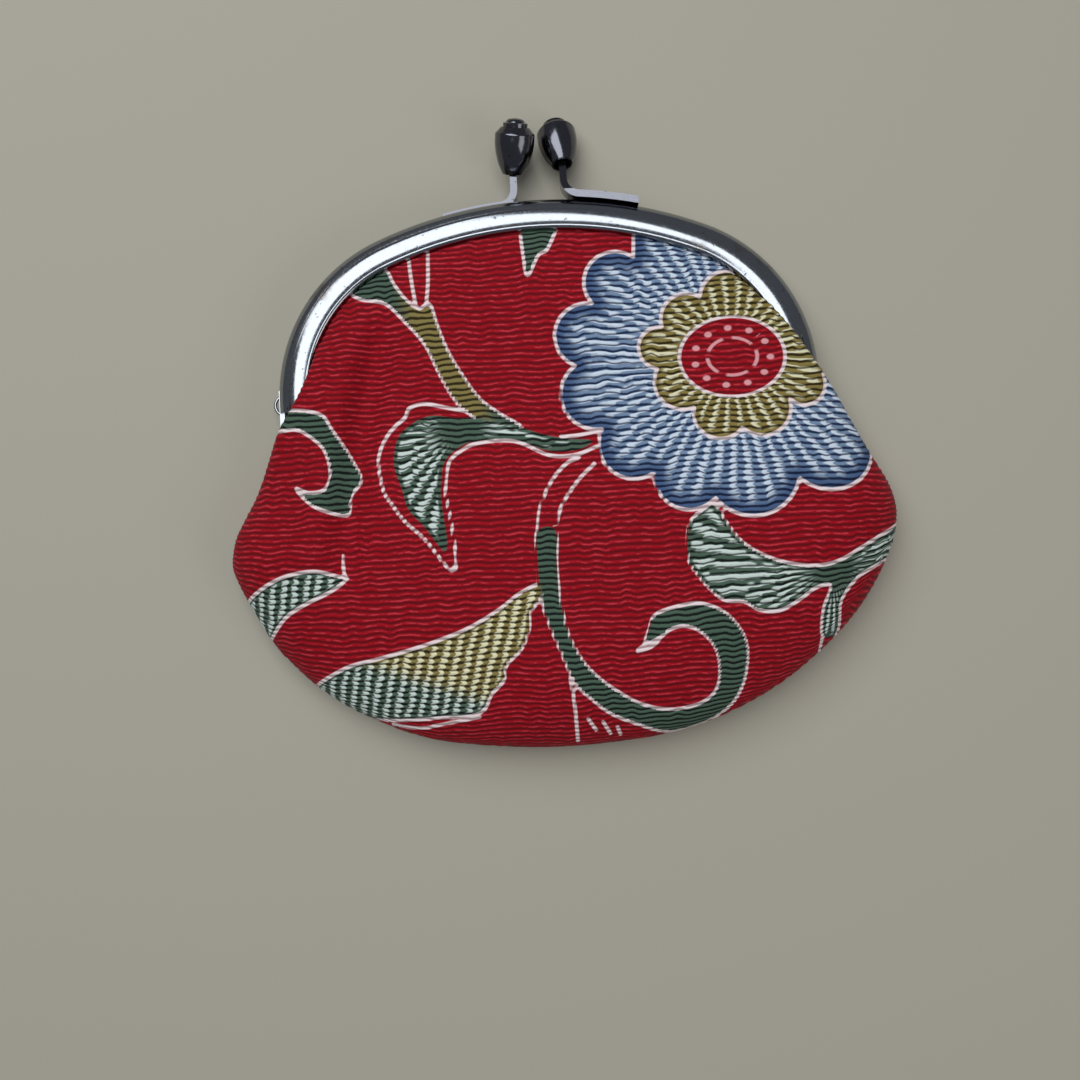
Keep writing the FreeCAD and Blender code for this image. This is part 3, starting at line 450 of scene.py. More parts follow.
def place(mesh, material, slot):
    """A piece with a smooth surface, in the scene."""
    piece = bpy.data.objects.new(mesh.name, mesh)
    bpy.context.scene.collection.objects.link(piece)
    mesh.materials.append(material)
    mesh.shade_smooth()
    return piece


# ---------------------------------------------------------------- the print
# Places are X and Y from the middle of the hinge line. The flower's middle and its red centre's two radii
# come first. A lobe is its first notch and how far it bulges.
FLOWER = (28.5, 8.2)
CENTRE_RADII = (8.2, 6.25)
BLUE_LOBES = [
    (14.1, 24.7, 4.4), (7.3, 17.6, 4.5), (4.1, 8.0, 4.2), (7.7, -2.1, 4.0), (15.2, -9.3, 3.6),
    (24.3, -13.6, 4.2), (37.4, -11.2, 4.6), (50.6, -5.5, 4.5), (53.5, 6.0, 4.5), (49.0, 17.0, 4.5),
    (39.0, 26.0, 4.5), (27.0, 30.5, 3.5), (14.6, 30.5, -0.01),
]
GOLD_LOBES = [
    (24.0, 17.8, 2.6), (17.9, 13.4, 3.3), (16.8, 6.9, 2.9), (22.1, 0.6, 3.3), (29.2, -3.0, 3.3),
    (36.9, 1.1, 2.8), (42.6, 4.9, 3.5), (40.5, 13.0, 3.4), (33.4, 18.9, 3.6),
]
BIG_LEAF = [
    (-2.7, -25.2), (-6.1, -26.5), (-9.4, -28.8), (-14.0, -31.3), (-18.7, -33.0), (-23.3, -34.3),
    (-28.8, -35.6), (-33.7, -36.8), (-39.5, -40.3), (-38.0, -43.4), (-32.6, -45.3), (-26.0, -45.6),
    (-19.6, -45.3), (-14.9, -45.2), (-12.6, -44.2), (-11.4, -41.9), (-9.4, -39.8), (-8.8, -37.4),
    (-6.4, -35.0), (-5.1, -32.1), (-4.7, -29.5), (-3.1, -27.4),
]
VINE = [
    (-3.0, -17.2), (-3.2, -21.5), (-3.0, -27.4), (-1.9, -31.6), (-0.5, -35.4), (1.5, -40.6), (4.0, -43.4),
    (7.0, -46.0), (11.3, -48.1), (15.0, -49.6), (18.6, -49.7), (22.9, -48.2), (25.9, -45.7),
    (27.5, -42.6), (28.2, -38.7), (28.0, -35.8), (26.7, -33.1), (24.4, -30.8), (21.2, -29.5),
    (18.0, -29.7), (14.3, -30.8), (13.2, -33.0), (12.6, -35.2), (15.0, -34.2), (16.4, -33.2),
    (18.6, -32.8), (20.9, -33.7), (23.0, -36.0), (23.8, -38.7), (23.7, -41.9), (22.5, -44.1),
    (19.9, -45.4), (15.7, -45.8), (11.3, -44.5), (8.0, -42.4), (5.3, -40.2), (2.9, -37.4), (0.9, -33.2),
    (-0.1, -27.8), (-0.4, -22.5), (-0.3, -17.2),
]
RIGHT_LEAF = [
    (22.4, -15.2), (24.1, -14.4), (25.5, -17.0), (27.6, -20.1), (30.5, -22.3), (34.3, -23.9),
    (39.0, -24.7), (43.0, -24.1), (47.3, -22.0), (50.9, -20.3), (56.0, -18.6), (57.0, -22.6),
    (52.8, -24.2), (50.2, -25.0), (46.6, -26.6), (44.3, -28.8), (43.2, -31.1), (43.2, -35.6),
    (40.5, -35.8), (40.4, -31.6), (41.5, -28.6), (41.2, -27.7), (38.9, -28.2), (36.5, -29.8),
    (33.3, -31.3), (30.2, -31.0), (27.9, -29.6), (24.9, -29.2), (22.7, -27.3), (21.2, -25.4),
    (19.8, -23.1), (19.7, -19.8), (20.3, -17.0),
]
MIDDLE_LEAF = [
    (6.1, -3.8), (1.2, -3.1), (-3.4, -1.7), (-7.1, 0.2), (-10.2, 0.9), (-14.0, 0.8), (-18.6, 1.4),
    (-21.8, 0.1), (-23.8, -2.1), (-24.4, -6.0), (-23.3, -9.9), (-22.4, -13.0), (-20.0, -15.9),
    (-17.4, -19.6), (-16.8, -17.9), (-17.2, -14.0), (-17.4, -10.2), (-16.7, -6.0), (-14.2, -3.7),
    (-11.1, -2.9), (-5.7, -3.1), (-1.2, -4.9), (3.4, -5.2),
]
MIDDLE_OUTLINE = [
    (-12.5, 1.7), (-16.3, 2.6), (-19.3, 3.3), (-21.7, 2.8), (-22.5, 1.3), (-24.1, 0.0), (-25.7, -2.0),
    (-26.8, -5.1), (-26.2, -9.7), (-24.9, -12.1), (-23.0, -14.8), (-20.1, -17.7), (-16.8, -22.2),
    (-15.6, -21.9), (-15.7, -18.7), (-16.2, -14.1), (-16.7, -10.3), (-16.0, -6.1), (-13.9, -4.2),
    (-11.1, -3.2), (-5.7, -3.3), (-0.7, -5.7), (3.3, -5.9), (6.5, -4.8),
]
GOLD_STEM = [
    (-30.5, 22.0), (-28.6, 20.3), (-24.8, 19.3), (-21.8, 16.2), (-18.9, 12.5), (-16.8, 7.7), (-14.7, 3.7),
    (-11.7, 0.7), (-8.0, -1.5), (-4.6, -1.2), (-7.8, 1.1), (-10.8, 3.6), (-13.4, 7.5), (-15.5, 11.5),
    (-16.9, 15.5), (-17.9, 18.8), (-19.7, 18.2), (-21.7, 19.9), (-23.4, 22.4), (-25.0, 25.0),
    (-29.5, 24.5),
]
SCROLL = [
    (-43.5, 4.0), (-40.7, 3.6), (-37.4, 3.1), (-35.0, 2.1), (-33.8, 0.1), (-32.3, -2.4), (-30.9, -5.1),
    (-29.7, -8.0), (-31.3, -10.1), (-31.6, -11.7), (-32.1, -13.3), (-35.2, -12.5), (-37.6, -11.1),
    (-39.7, -8.8), (-37.6, -9.6), (-35.2, -9.3), (-34.2, -7.4), (-34.3, -4.9), (-35.2, -2.7),
    (-37.3, -0.8), (-39.6, 0.4), (-43.5, 0.6),
]
LOW_LEAF = [
    (-32.6, -23.0), (-34.1, -22.5), (-37.2, -21.6), (-41.2, -22.0), (-44.9, -23.3), (-48.9, -25.8),
    (-51.0, -28.0), (-49.0, -32.5), (-46.5, -32.6), (-42.6, -28.6), (-39.1, -26.6), (-35.0, -24.8),
]
TOP_LEAF = [(-2.8, 31.5), (-2.9, 24.9), (-2.4, 22.6), (-0.7, 25.7), (0.9, 26.8), (2.4, 31.5)]
PALE_LINES = [
    [(-18.4, 18.8), (-18.0, 22.6), (-17.9, 27.5)],
    [(-20.0, 18.4), (-20.5, 22.0), (-21.0, 26.5)],
    [(-32.8, -19.4), (-32.9, -22.0), (-32.3, -23.1)],
    [(-27.2, -46.3), (-23.0, -47.0), (-18.9, -46.3), (-13.4, -45.4)],
    [(-3.0, -17.1), (-2.3, -13.3), (-0.4, -9.6), (2.0, -7.1), (4.0, -6.3)],
    [(-0.3, -17.1), (0.9, -13.5), (3.6, -9.8), (6.3, -7.3)],
    [(0.8, -39.8), (1.3, -44.2), (1.6, -50.4)],
    [(43.2, -35.6), (42.9, -38.0), (42.3, -40.2)],
    [(40.5, -35.8), (40.4, -38.0), (40.9, -40.6)],
    [(12.6, -35.2), (11.2, -36.3), (13.6, -35.6), (15.0, -34.2)],
    [(7.4, -2.3), (3.5, -2.9), (1.2, -2.9)],
    [(3.3, -46.6), (4.5, -48.6)],
    [(5.6, -47.2), (6.7, -49.3)],
    [(7.8, -48.2), (8.3, -49.6)],
]


def fan(centre, count):
    """Hatching that fans out from a point."""
    return lambda x, y: count * np.arctan2(y - centre[1], x - centre[0])


def strokes(angle, pitch):
    """Straight hatching at an angle."""
    a = math.radians(angle)
    return lambda x, y: 2 * math.pi / pitch * (y * math.cos(a) - x * math.sin(a))


def green(x, y):
    """Green all over."""
    return np.zeros_like(x)


# Where the big leaf turns from green to gold: a place, the way across and half the change's width.
LEAF_CHANGE, LEAF_ACROSS, LEAF_BLUR = (-19.0, -40.3), (0.35, 0.94), 1.8
# Where the stem turns from green to gold and back, along X.
STEM_TO_GOLD, STEM_TO_GREEN = (-24, -20), (-11.5, -8)


def big_leaf_tone(x, y):
    """Gold in the upper right, green along the lower edge and the tip."""
    across = (x - LEAF_CHANGE[0]) * LEAF_ACROSS[0] + (y - LEAF_CHANGE[1]) * LEAF_ACROSS[1]
    return ease(across, -LEAF_BLUR, LEAF_BLUR)


def stem_tone(x, y):
    """Gold in the middle of the stem, green at both of its ends."""
    return ease(x, *STEM_TO_GOLD) * (1 - ease(x, *STEM_TO_GREEN))


# Where fans of strokes start. The last is so far off that straight strokes don't fade in round it.
RIGHT_FAN, MIDDLE_FAN, NO_FAN = (42.0, -25.3), (-14.0, -0.8), (0, 99)
# Each leaf's outline, its tone, its strokes, where their fan starts, and whether the leaf is outlined.
LEAVES = [
    (BIG_LEAF, big_leaf_tone, strokes(angle=74, pitch=1.8), NO_FAN, True),
    (VINE, green, None, NO_FAN, True),
    (RIGHT_LEAF, green, fan(RIGHT_FAN, count=52), RIGHT_FAN, True),
    (MIDDLE_LEAF, green, fan(MIDDLE_FAN, count=36), MIDDLE_FAN, False),
    (GOLD_STEM, stem_tone, None, NO_FAN, True),
    (SCROLL, green, None, NO_FAN, True),
    (LOW_LEAF, green, strokes(angle=78, pitch=1.8), NO_FAN, True),
    (TOP_LEAF, green, None, NO_FAN, True),
]
# Where a leaf runs on into two pale lines, its outline has no closing stroke.
OPEN_ENDS = [(-1.65, -17.2), (41.9, -35.7)]
OPEN_END_REACH = 1.15

# A distance further than the shader looks, and how far round shapes and lines distances are worked out.
FAR = 6.0
SHAPE_REACH, LINE_REACH = 2.0, 1.5
# Fanned hatching fades in this far from the point that it fans out from.
FAN_FADE = (2.5, 6.5)
# Further inside a leaf than this, no outline shows.
LEAF_COVERS = 0.45


def near(at, line, reach):
    """Which points are in the line's box, widened by reach."""
    low, high = line.min(0) - reach, line.max(0) + reach
    return np.nonzero(np.all((at >= low) & (at <= high), axis=1))[0]


def add_print(mesh, at):
    """Stores how far each point is inside the printed shapes, and how far from their pale outlines."""
    count = len(at)
    leaf, line = np.full(count, -FAR), np.full(count, FAR)
    tone, hatch, hatched = np.zeros(count), np.zeros(count), np.zeros(count)
    for points, tone_rule, hatch_rule, fan_centre, outlined in LEAVES:
        outline = smooth(points, closed=True)
        which = near(at, outline, SHAPE_REACH)
        depth = signed(at[which], outline)
        nearer = depth > leaf[which]
        chosen = which[nearer]
        leaf[chosen] = depth[nearer]
        x, y = at[chosen].T
        tone[chosen] = tone_rule(x, y)
        hatched[chosen] = 0
        if hatch_rule is not None:
            hatched[chosen] = ease(np.hypot(x - fan_centre[0], y - fan_centre[1]), *FAN_FADE)
            hatch[chosen] = hatch_rule(x, y)
        if outlined:
            line[which] = np.minimum(line[which], np.abs(depth))
    for x, y in OPEN_ENDS:
        line[np.hypot(at[:, 0] - x, at[:, 1] - y) < OPEN_END_REACH] = FAR
    for points in PALE_LINES + [MIDDLE_OUTLINE]:
        curve = smooth(points)
        which = near(at, curve, LINE_REACH)
        line[which] = np.minimum(line[which], distance(at[which], curve, closed=False))
    line[leaf > LEAF_COVERS] = FAR
    blue, gold = np.full(count, -FAR), np.full(count, -FAR)
    for field, lobes in ((blue, BLUE_LOBES), (gold, GOLD_LOBES)):
        outline = scallops(lobes)
        which = near(at, outline, SHAPE_REACH)
        field[which] = signed(at[which], outline)
        line[which] = np.minimum(line[which], np.abs(field[which]))
    dx, dy = (at - FLOWER).T
    stretch = CENTRE_RADII[0] / CENTRE_RADII[1]
    ring = np.hypot(dx, dy * stretch)
    turn = (np.arctan2(dy * stretch, dx) - math.pi / 4) % (2 * math.pi)
    line[ring < CENTRE_RADII[0]] = FAR
    line = np.minimum(line, np.abs(ring - CENTRE_RADII[0]))
    for name, values in (
        ("leaf", leaf), ("tone", tone), ("hatch", hatch), ("hatched", hatched), ("line", line),
        ("blue", blue), ("gold", gold), ("ring", ring), ("turn", turn),
    ):
        store(mesh, name, values)


# ---------------------------------------------------------------- materials
def linear(colour):
    """A colour written as 0 to 255, as the shader wants it."""
    values = [v / 255 for v in colour]
    return [v / 12.92 if v <= 0.04045 else ((v + 0.055) / 1.055) ** 2.4 for v in values] + [1.0]


class Shader:
    """A material and short names for the nodes that it needs."""

    def __init__(self, name):
        self.material = bpy.data.materials.new(name)
        self.material.use_nodes = True
        self.tree = self.material.node_tree
        self.principled = self.tree.nodes["Principled BSDF"]
        self.place = self.tree.nodes.new("ShaderNodeTexCoord").outputs["Object"]

    def node(self, kind, **settings):
        """A new node with some of its settings."""
        made = self.tree.nodes.new(kind)
        for key, value in settings.items():
            setattr(made, key, value)
        return made

    def feed(self, socket, value):
        """Links a node's output to the socket, or sets its value."""
        if isinstance(value, bpy.types.NodeSocket):
            self.tree.links.new(value, socket)
        else:
            socket.default_value = value

    def math(self, operation, *values):
        """A sum or a function of numbers."""
        made = self.node("ShaderNodeMath", operation=operation)
        for socket, value in zip(made.inputs, values):
            self.feed(socket, value)
        return made.outputs[0]

    def attribute(self, name):
        """A number stored on the mesh."""
        return self.node("ShaderNodeAttribute", attribute_name=name).outputs["Fac"]

    def between(self, value, start, end):
        """0 at start and 1 at end, with a soft step between them."""
        made = self.node("ShaderNodeMapRange", interpolation_type="SMOOTHSTEP")
        made.inputs["From Min"].default_value = start
        made.inputs["From Max"].default_value = end
        self.feed(made.inputs["Value"], value)
        return made.outputs["Result"]

    def mix(self, factor, a, b, blend_type="MIX"):
        """Colour a where factor is 0 and b where it is 1."""
        made = self.node("ShaderNodeMix", data_type="RGBA", blend_type=blend_type)
        self.feed(made.inputs[0], factor)
        self.feed(made.inputs[6], a)
        self.feed(made.inputs[7], b)
        return made.outputs[2]

    def noise(self, size, detail=2.0, roughness=0.5, stretch=(1, 1, 1)):
        """Noise with features of about that size in millimetres."""
        scaled = self.node("ShaderNodeMapping")
        scaled.inputs["Scale"].default_value = [s / (size * MM) for s in stretch]
        self.feed(scaled.inputs["Vector"], self.place)
        made = self.node("ShaderNodeTexNoise")
        made.inputs["Scale"].default_value = 1.0
        made.inputs["Detail"].default_value = detail
        made.inputs["Roughness"].default_value = roughness
        self.feed(made.inputs["Vector"], scaled.outputs["Vector"])
        return made.outputs["Fac"]

    def bump(self, height, distance_mm, strength):
        """Fine relief of about that depth."""
        made = self.node("ShaderNodeBump")
        made.inputs["Strength"].default_value = strength
        made.inputs["Distance"].default_value = distance_mm * MM
        self.feed(made.inputs["Height"], height)
        self.feed(self.principled.inputs["Normal"], made.outputs["Normal"])

    def set(self, **values):
        """Sets or feeds the shader's own sockets."""
        names = {
            "colour": "Base Color", "metallic": "Metallic", "roughness": "Roughness",
            "sheen": "Sheen Weight", "sheen_roughness": "Sheen Roughness", "specular": "Specular IOR Level",
        }
        for key, value in values.items():
            self.feed(self.principled.inputs[names[key]], value)


# Colours are written as 0 to 255. A pair is the cloth with painted shade in a ripple's hollow and with a
# painted highlight on its crest, and the pale colours are strokes on it.
# The second colour and its strength paint a sheen line along the red's ripple crests.
RED, RED_CREST_SHEEN, CREST_SHEEN_STRENGTH = ((104, 0, 12), (158, 2, 22)), (214, 66, 82), 0.60
GREEN, GREEN_PALE = ((8, 20, 16), (78, 100, 84)), (214, 226, 218)
GOLD, GOLD_PALE = ((44, 34, 6), (138, 124, 72)), (236, 230, 190)
PETAL, PETAL_PALE = ((44, 34, 4), (138, 122, 66)), (232, 226, 190)
BLUE_RIM, BLUE = ((12, 24, 54), (70, 94, 132)), ((24, 42, 74), (120, 142, 170))
BLUE_PALE = (214, 225, 238)
OUTLINE_PALE, MARK_PALE, MARK_STRENGTH = (248, 228, 228), (238, 170, 176), 0.85
GRAIN_DARK, GRAIN_LIGHT, GRAIN_STRENGTH = (40, 30, 30), (255, 250, 250), 0.22

# Where on a ripple's wave the crest's painted highlight and the painted sheen lines fade in, and how much
# noise blurs that.
CREST, CREST_BLUR = (-0.8, 0.4), 0.9
SHEEN_LINES, SHEEN_LINES_BLUR = (0.76, 1.2), 2.4
# Where on a ripple's wave strokes come up from its hollow.
HOLLOW = (-0.95, -0.1)
# What stays of a stroke and of an outline in the ripples' hollows.
STROKE_LEFT, OUTLINE_LEFT = 0.15, 0.4
# Half the soft edge of a shape, and how far from its middle a pale outline fades out.
PRINT_EDGE = 0.12
OUTLINE_FADE = (0.2, 0.38)
# How far strokes sway with a ripple, and for each hatching how far it wanders and where a stroke's edge is.
SWAY = 0.7
LEAF_STROKES, RAYS, SHORT_RAYS = (3.5, -0.3, 0.6), (3.5, -0.25, 0.7), (3.0, 0.0, 0.9)
RAY_COUNT, SHORT_RAY_COUNT = 62.0, 40.0
# How far inside its shape each hatching begins and is whole, and the blue petals' rim ends.
LEAF_INSET, RAY_INSET, SHORT_RAY_INSET, RIM_WIDTH = (0.35, 0.8), (1.2, 3.4), (0.5, 1.4), (0.6, 3.6)
# The flower's centre: a ring of dots round a thin ring with gaps, and where their strokes fade out.
DOT_COUNT, DOT_RING, DOT_FADE = 11, 5.9, (0.42, 0.72)
THIN_RING, THIN_RING_FADE = 3.85, (0.16, 0.40)
GAP_COUNT, GAP_EDGE = 5.0, (-0.85, -0.3)
# Half the soft edge of the flower's centre.
CENTRE_EDGE = 0.1


def crepe():
    """Printed crepe: resist-dyed shapes, pale outlines and hatching, all broken up by the ripples, with
    painted shade in their hollows and painted highlights and sheen lines on their crests.
    """
    s = Shader("printed_crepe")
    wave = s.math("SINE", s.attribute("ripple"))
    grain = s.noise(0.22, detail=3.0, roughness=0.6)
    patch = s.noise(1.5, detail=2.5, roughness=0.6, stretch=(1, 2.2, 1))
    drift = s.math("SUBTRACT", s.noise(1.8, detail=1.0), 0.5)

    def blurred(noise, amount):
        """The wave with its edges blurred by noise."""
        return s.math("ADD", wave, s.math("MULTIPLY", s.math("SUBTRACT", noise, 0.5), amount))

    # crest marks the ripples' crests, where cloth() puts the painted highlight; their hollows get painted
    # shade.
    crest = s.between(blurred(grain, CREST_BLUR), *CREST)
    # thread is the mask of the painted sheen lines along the ripples' crests.
    thread = s.between(blurred(patch, SHEEN_LINES_BLUR), *SHEEN_LINES)
    above_hollow = s.between(wave, *HOLLOW)

    def cloth(pair):
        """A colour of the cloth, with painted shade in the ripples' hollows and a painted highlight on
        their crests.
        """
        return s.mix(crest, linear(pair[0]), linear(pair[1]))

    def hatching(phase, wander, start, end):
        """Strokes that sway with the ripples and wander a little."""
        swayed = s.math("ADD", phase, s.math("MULTIPLY", wave, SWAY))
        wandering = s.math("ADD", swayed, s.math("MULTIPLY", drift, wander))
        return s.between(s.math("SINE", wandering), start, end)

    def weaker_in_hollows(strength, shown, left):
        """A stroke that keeps only a share of itself where shown is 0."""
        return s.math("MULTIPLY", strength, s.math("ADD", left, s.math("MULTIPLY", shown, 1 - left)))

    def print_over(depth, below, colour):
        """A printed shape's colour over the colour below it."""
        return s.mix(s.between(depth, -PRINT_EDGE, PRINT_EDGE), below, colour)

    # The red, with painted sheen lines on the ripples' crests.
    red = s.mix(s.math("MULTIPLY", thread, CREST_SHEEN_STRENGTH), cloth(RED), linear(RED_CREST_SHEEN))

    leaf_depth, tone = s.attribute("leaf"), s.attribute("tone")
    stroke = hatching(s.attribute("hatch"), *LEAF_STROKES)
    stroke_share = s.math("MULTIPLY", s.attribute("hatched"), s.between(leaf_depth, *LEAF_INSET))
    stroke = weaker_in_hollows(s.math("MULTIPLY", stroke, stroke_share), above_hollow, STROKE_LEFT)
    leaf_pale = s.mix(tone, linear(GREEN_PALE), linear(GOLD_PALE))
    leaf_colour = s.mix(stroke, s.mix(tone, cloth(GREEN), cloth(GOLD)), leaf_pale)

    blue_depth, gold_depth = s.attribute("blue"), s.attribute("gold")
    ring, turn = s.attribute("ring"), s.attribute("turn")
    blues = s.mix(s.between(blue_depth, *RIM_WIDTH), cloth(BLUE_RIM), cloth(BLUE))
    rays = hatching(s.math("MULTIPLY", turn, RAY_COUNT), *RAYS)
    rays = s.math("MULTIPLY", rays, s.between(blue_depth, *RAY_INSET))
    blues = s.mix(weaker_in_hollows(rays, above_hollow, STROKE_LEFT), blues, linear(BLUE_PALE))
    short_rays = hatching(s.math("MULTIPLY", turn, SHORT_RAY_COUNT), *SHORT_RAYS)
    short_rays = s.math("MULTIPLY", short_rays, s.between(gold_depth, *SHORT_RAY_INSET))
    short_rays = weaker_in_hollows(short_rays, above_hollow, STROKE_LEFT)
    petals = s.mix(short_rays, cloth(PETAL), linear(PETAL_PALE))

    dot_phase = s.math("FRACT", s.math("MULTIPLY", turn, DOT_COUNT / (2 * math.pi)))
    across = s.math("MULTIPLY", s.math("SUBTRACT", dot_phase, 0.5), 2 * math.pi * DOT_RING / DOT_COUNT)
    off_ring = s.math("SUBTRACT", ring, DOT_RING)
    dot = s.math("ADD", s.math("MULTIPLY", across, across), s.math("MULTIPLY", off_ring, off_ring))
    dots = s.math("SUBTRACT", 1.0, s.between(s.math("SQRT", dot), *DOT_FADE))
    off_thin_ring = s.math("ABSOLUTE", s.math("SUBTRACT", ring, THIN_RING))
    thin_ring = s.math("SUBTRACT", 1.0, s.between(off_thin_ring, *THIN_RING_FADE))
    gaps = s.between(s.math("SINE", s.math("MULTIPLY", turn, GAP_COUNT)), *GAP_EDGE)
    marks = s.math("MAXIMUM", dots, s.math("MULTIPLY", thin_ring, gaps))
    centre = s.mix(s.math("MULTIPLY", marks, MARK_STRENGTH), red, linear(MARK_PALE))

    colour = print_over(leaf_depth, red, leaf_colour)
    colour = print_over(blue_depth, colour, blues)
    colour = print_over(gold_depth, colour, petals)
    in_centre = s.between(ring, CENTRE_RADII[0] + CENTRE_EDGE, CENTRE_RADII[0] - CENTRE_EDGE)
    colour = s.mix(in_centre, colour, centre)
    outline = s.math("SUBTRACT", 1.0, s.between(s.attribute("line"), *OUTLINE_FADE))
    colour = s.mix(weaker_in_hollows(outline, crest, OUTLINE_LEFT), colour, linear(OUTLINE_PALE))
    tint = s.mix(grain, linear(GRAIN_DARK), linear(GRAIN_LIGHT))
    colour = s.mix(GRAIN_STRENGTH, colour, tint, "SOFT_LIGHT")
    s.set(colour=colour, roughness=0.82, sheen=0.05, sheen_roughness=0.45, specular=0.2)
    s.bump(s.math("ADD", s.math("MULTIPLY", wave, 0.5), grain), distance_mm=0.05, strength=0.55)
    return s.material


COTTON_DARK, COTTON_LIGHT, COTTON_PATCH = (186, 166, 132), (226, 210, 178), (196, 178, 146)
WEAVE_SIZE, WEAVE_STRETCH, WEAVE_EDGE = 0.35, 9, (0.35, 0.75)
PATCH_SIZE, PATCH_STRENGTH = 9.0, 0.25


def lining():
    """Plain woven cotton."""
    s = Shader("cotton_lining")
    across = s.noise(WEAVE_SIZE, detail=1.0, stretch=(1, WEAVE_STRETCH, 1))
    along = s.noise(WEAVE_SIZE, detail=1.0, stretch=(WEAVE_STRETCH, 1, 1))
    weave = s.math("MAXIMUM", across, along)
    patch = s.noise(PATCH_SIZE)
    colour = s.mix(s.between(weave, *WEAVE_EDGE), linear(COTTON_DARK), linear(COTTON_LIGHT))
    colour = s.mix(s.math("MULTIPLY", patch, PATCH_STRENGTH), colour, linear(COTTON_PATCH))
    s.set(colour=colour, roughness=0.85, sheen=0.15, sheen_roughness=0.5, specular=0.25)
    s.bump(weave, distance_mm=0.06, strength=0.6)
    return s.material


TARNISH_BROWN, PIT_DARK, PIT_STRENGTH, PIT_DEPTH = (104, 84, 62), (40, 38, 38), 0.6, 1.5
# Where in their noises pits, tarnish and scuffs fade in.
PIT_EDGE, TARNISH_EDGE, SCUFF_EDGE = (0.30, 0.22), (0.60, 0.74), (0.4, 0.8)
# The plate's roughness where it is clean, and what scuffs and tarnish add to it.
CLEAN_ROUGHNESS, SCUFF_ROUGHNESS, TARNISH_ROUGHNESS = 0.13, 0.12, 0.2


def nickel(name, base, tarnish_share):
    """Dark polished plate with fine scuffs, small pits and a little brown tarnish."""
    s = Shader(name)
    scuffs = s.noise(0.5, detail=4.0, roughness=0.7)
    cloud = s.noise(7.0, detail=3.0, roughness=0.6)
    pits = s.between(s.noise(0.8, detail=1.0), *PIT_EDGE)
    tarnish = s.math("MULTIPLY", s.between(cloud, *TARNISH_EDGE), tarnish_share)
    colour = s.mix(tarnish, linear(base), linear(TARNISH_BROWN))
    colour = s.mix(s.math("MULTIPLY", pits, PIT_STRENGTH), colour, linear(PIT_DARK))
    scuffed = s.math("MULTIPLY", s.between(scuffs, *SCUFF_EDGE), SCUFF_ROUGHNESS)
    rough = s.math("ADD", CLEAN_ROUGHNESS, scuffed)
    rough = s.math("ADD", rough, s.math("MULTIPLY", tarnish, TARNISH_ROUGHNESS))
    s.set(colour=colour, metallic=1.0, roughness=rough)
    dents = s.math("SUBTRACT", scuffs, s.math("MULTIPLY", pits, PIT_DEPTH))
    s.bump(dents, distance_mm=0.012, strength=0.35)
    return s.material


def spun(name, dark, light, size):
    """Twisted thread or paper cord."""
    s = Shader(name)
    twist = s.noise(size, stretch=(1, 2.5, 1))
    s.set(colour=s.mix(twist, linear(dark), linear(light)), roughness=0.85, sheen=0.1, sheen_roughness=0.5)
    s.bump(twist, distance_mm=0.05, strength=0.7)
    return s.material


CREPE, LINING = crepe(), lining()
NICKEL = nickel("black_nickel", (150, 153, 158), 0.5)
# The knobs and clasp parts get a darker copy of the frame's plate: painted shade standing in for the dark
# reflections that they show.
KNOB_NICKEL_PAINTED_DARK = nickel("black_nickel_knobs_painted_dark", (100, 100, 106), 0.3)
PAPER = spun("paper_cord", (190, 176, 148), (222, 210, 184), 0.7)
THREAD = spun("seam_thread", (110, 6, 16), (160, 20, 36), 0.4)

# The first word found in a node's name gives its material, and any other node is plated.
NODE_MATERIALS = (
    ("knob", KNOB_NICKEL_PAINTED_DARK), ("clasp", KNOB_NICKEL_PAINTED_DARK), ("paper_cord", PAPER), ("thread", THREAD),
    ("interfacing", LINING), ("lining", LINING), ("outer", CREPE),
)
for name, node in frame["nodes"].items():
    material = next((made for word, made in NODE_MATERIALS if word in name), NICKEL)
    node.data.materials.clear()
    node.data.materials.append(material)

# The meshes' columns, and the lining's row step. The lining lies this far inside and under the crepe.
CREPE_COLUMNS = 200
LINING_COLUMNS, LINING_STEP = 90, 0.9
LINING_INSET, LINING_SINK = 0.8, 0.9
# The back shows the same cloth turned half round: a point and its place in the print add up to this.
BACK_PRINT = np.array([2.0, -22.0])


def crepe_panel(name, panel, printed):
    """An outer panel with its ripples and print. printed gives each point's place in the print."""
    mesh, plan = make_panel(name, panel, CREPE_COLUMNS, ROW_STEP)
    add_ripples(mesh, panel, plan)
    add_print(mesh, printed(plan))
    return place(mesh, CREPE, "crepe")


def lining_panel(name, panel):
    """A lining panel, inside an outer one."""
    mesh, _ = make_panel(name, panel, LINING_COLUMNS, LINING_STEP, LINING_INSET, LINING_SINK)
    return place(mesh, LINING, "lining")


front = crepe_panel("front_panel", FRONT, lambda plan: plan)
back = crepe_panel("back_panel", BACK, lambda plan: BACK_PRINT - plan)
front_lining = lining_panel("front_lining_cloth", FRONT)
back_lining = lining_panel("back_lining_cloth", BACK)

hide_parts("outer_front_panel_upper", "outer_front_panel_lower")
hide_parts("outer_back_panel")
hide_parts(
    "front_lining_upper", "front_lining_lower", "front_interfacing_upper", "front_interfacing_lower",
)
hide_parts("back_lining", "back_interfacing")

for piece in (front, front_lining):
    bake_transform(piece)
for piece in (back, back_lining):
    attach(piece, "back_half")

# ---------------------------------------------------------------- the seam's thread
STITCH_LENGTH = 2.6
STITCH_RISE = 0.42
STITCH_RADIUS = 0.19
# The thread runs this far inside the seam, towards the pouch's middle, in steps of this length.
STITCH_INSET = 0.12
STITCH_STEP = 0.3
POUCH_MIDDLE = np.array([0, -20.0])


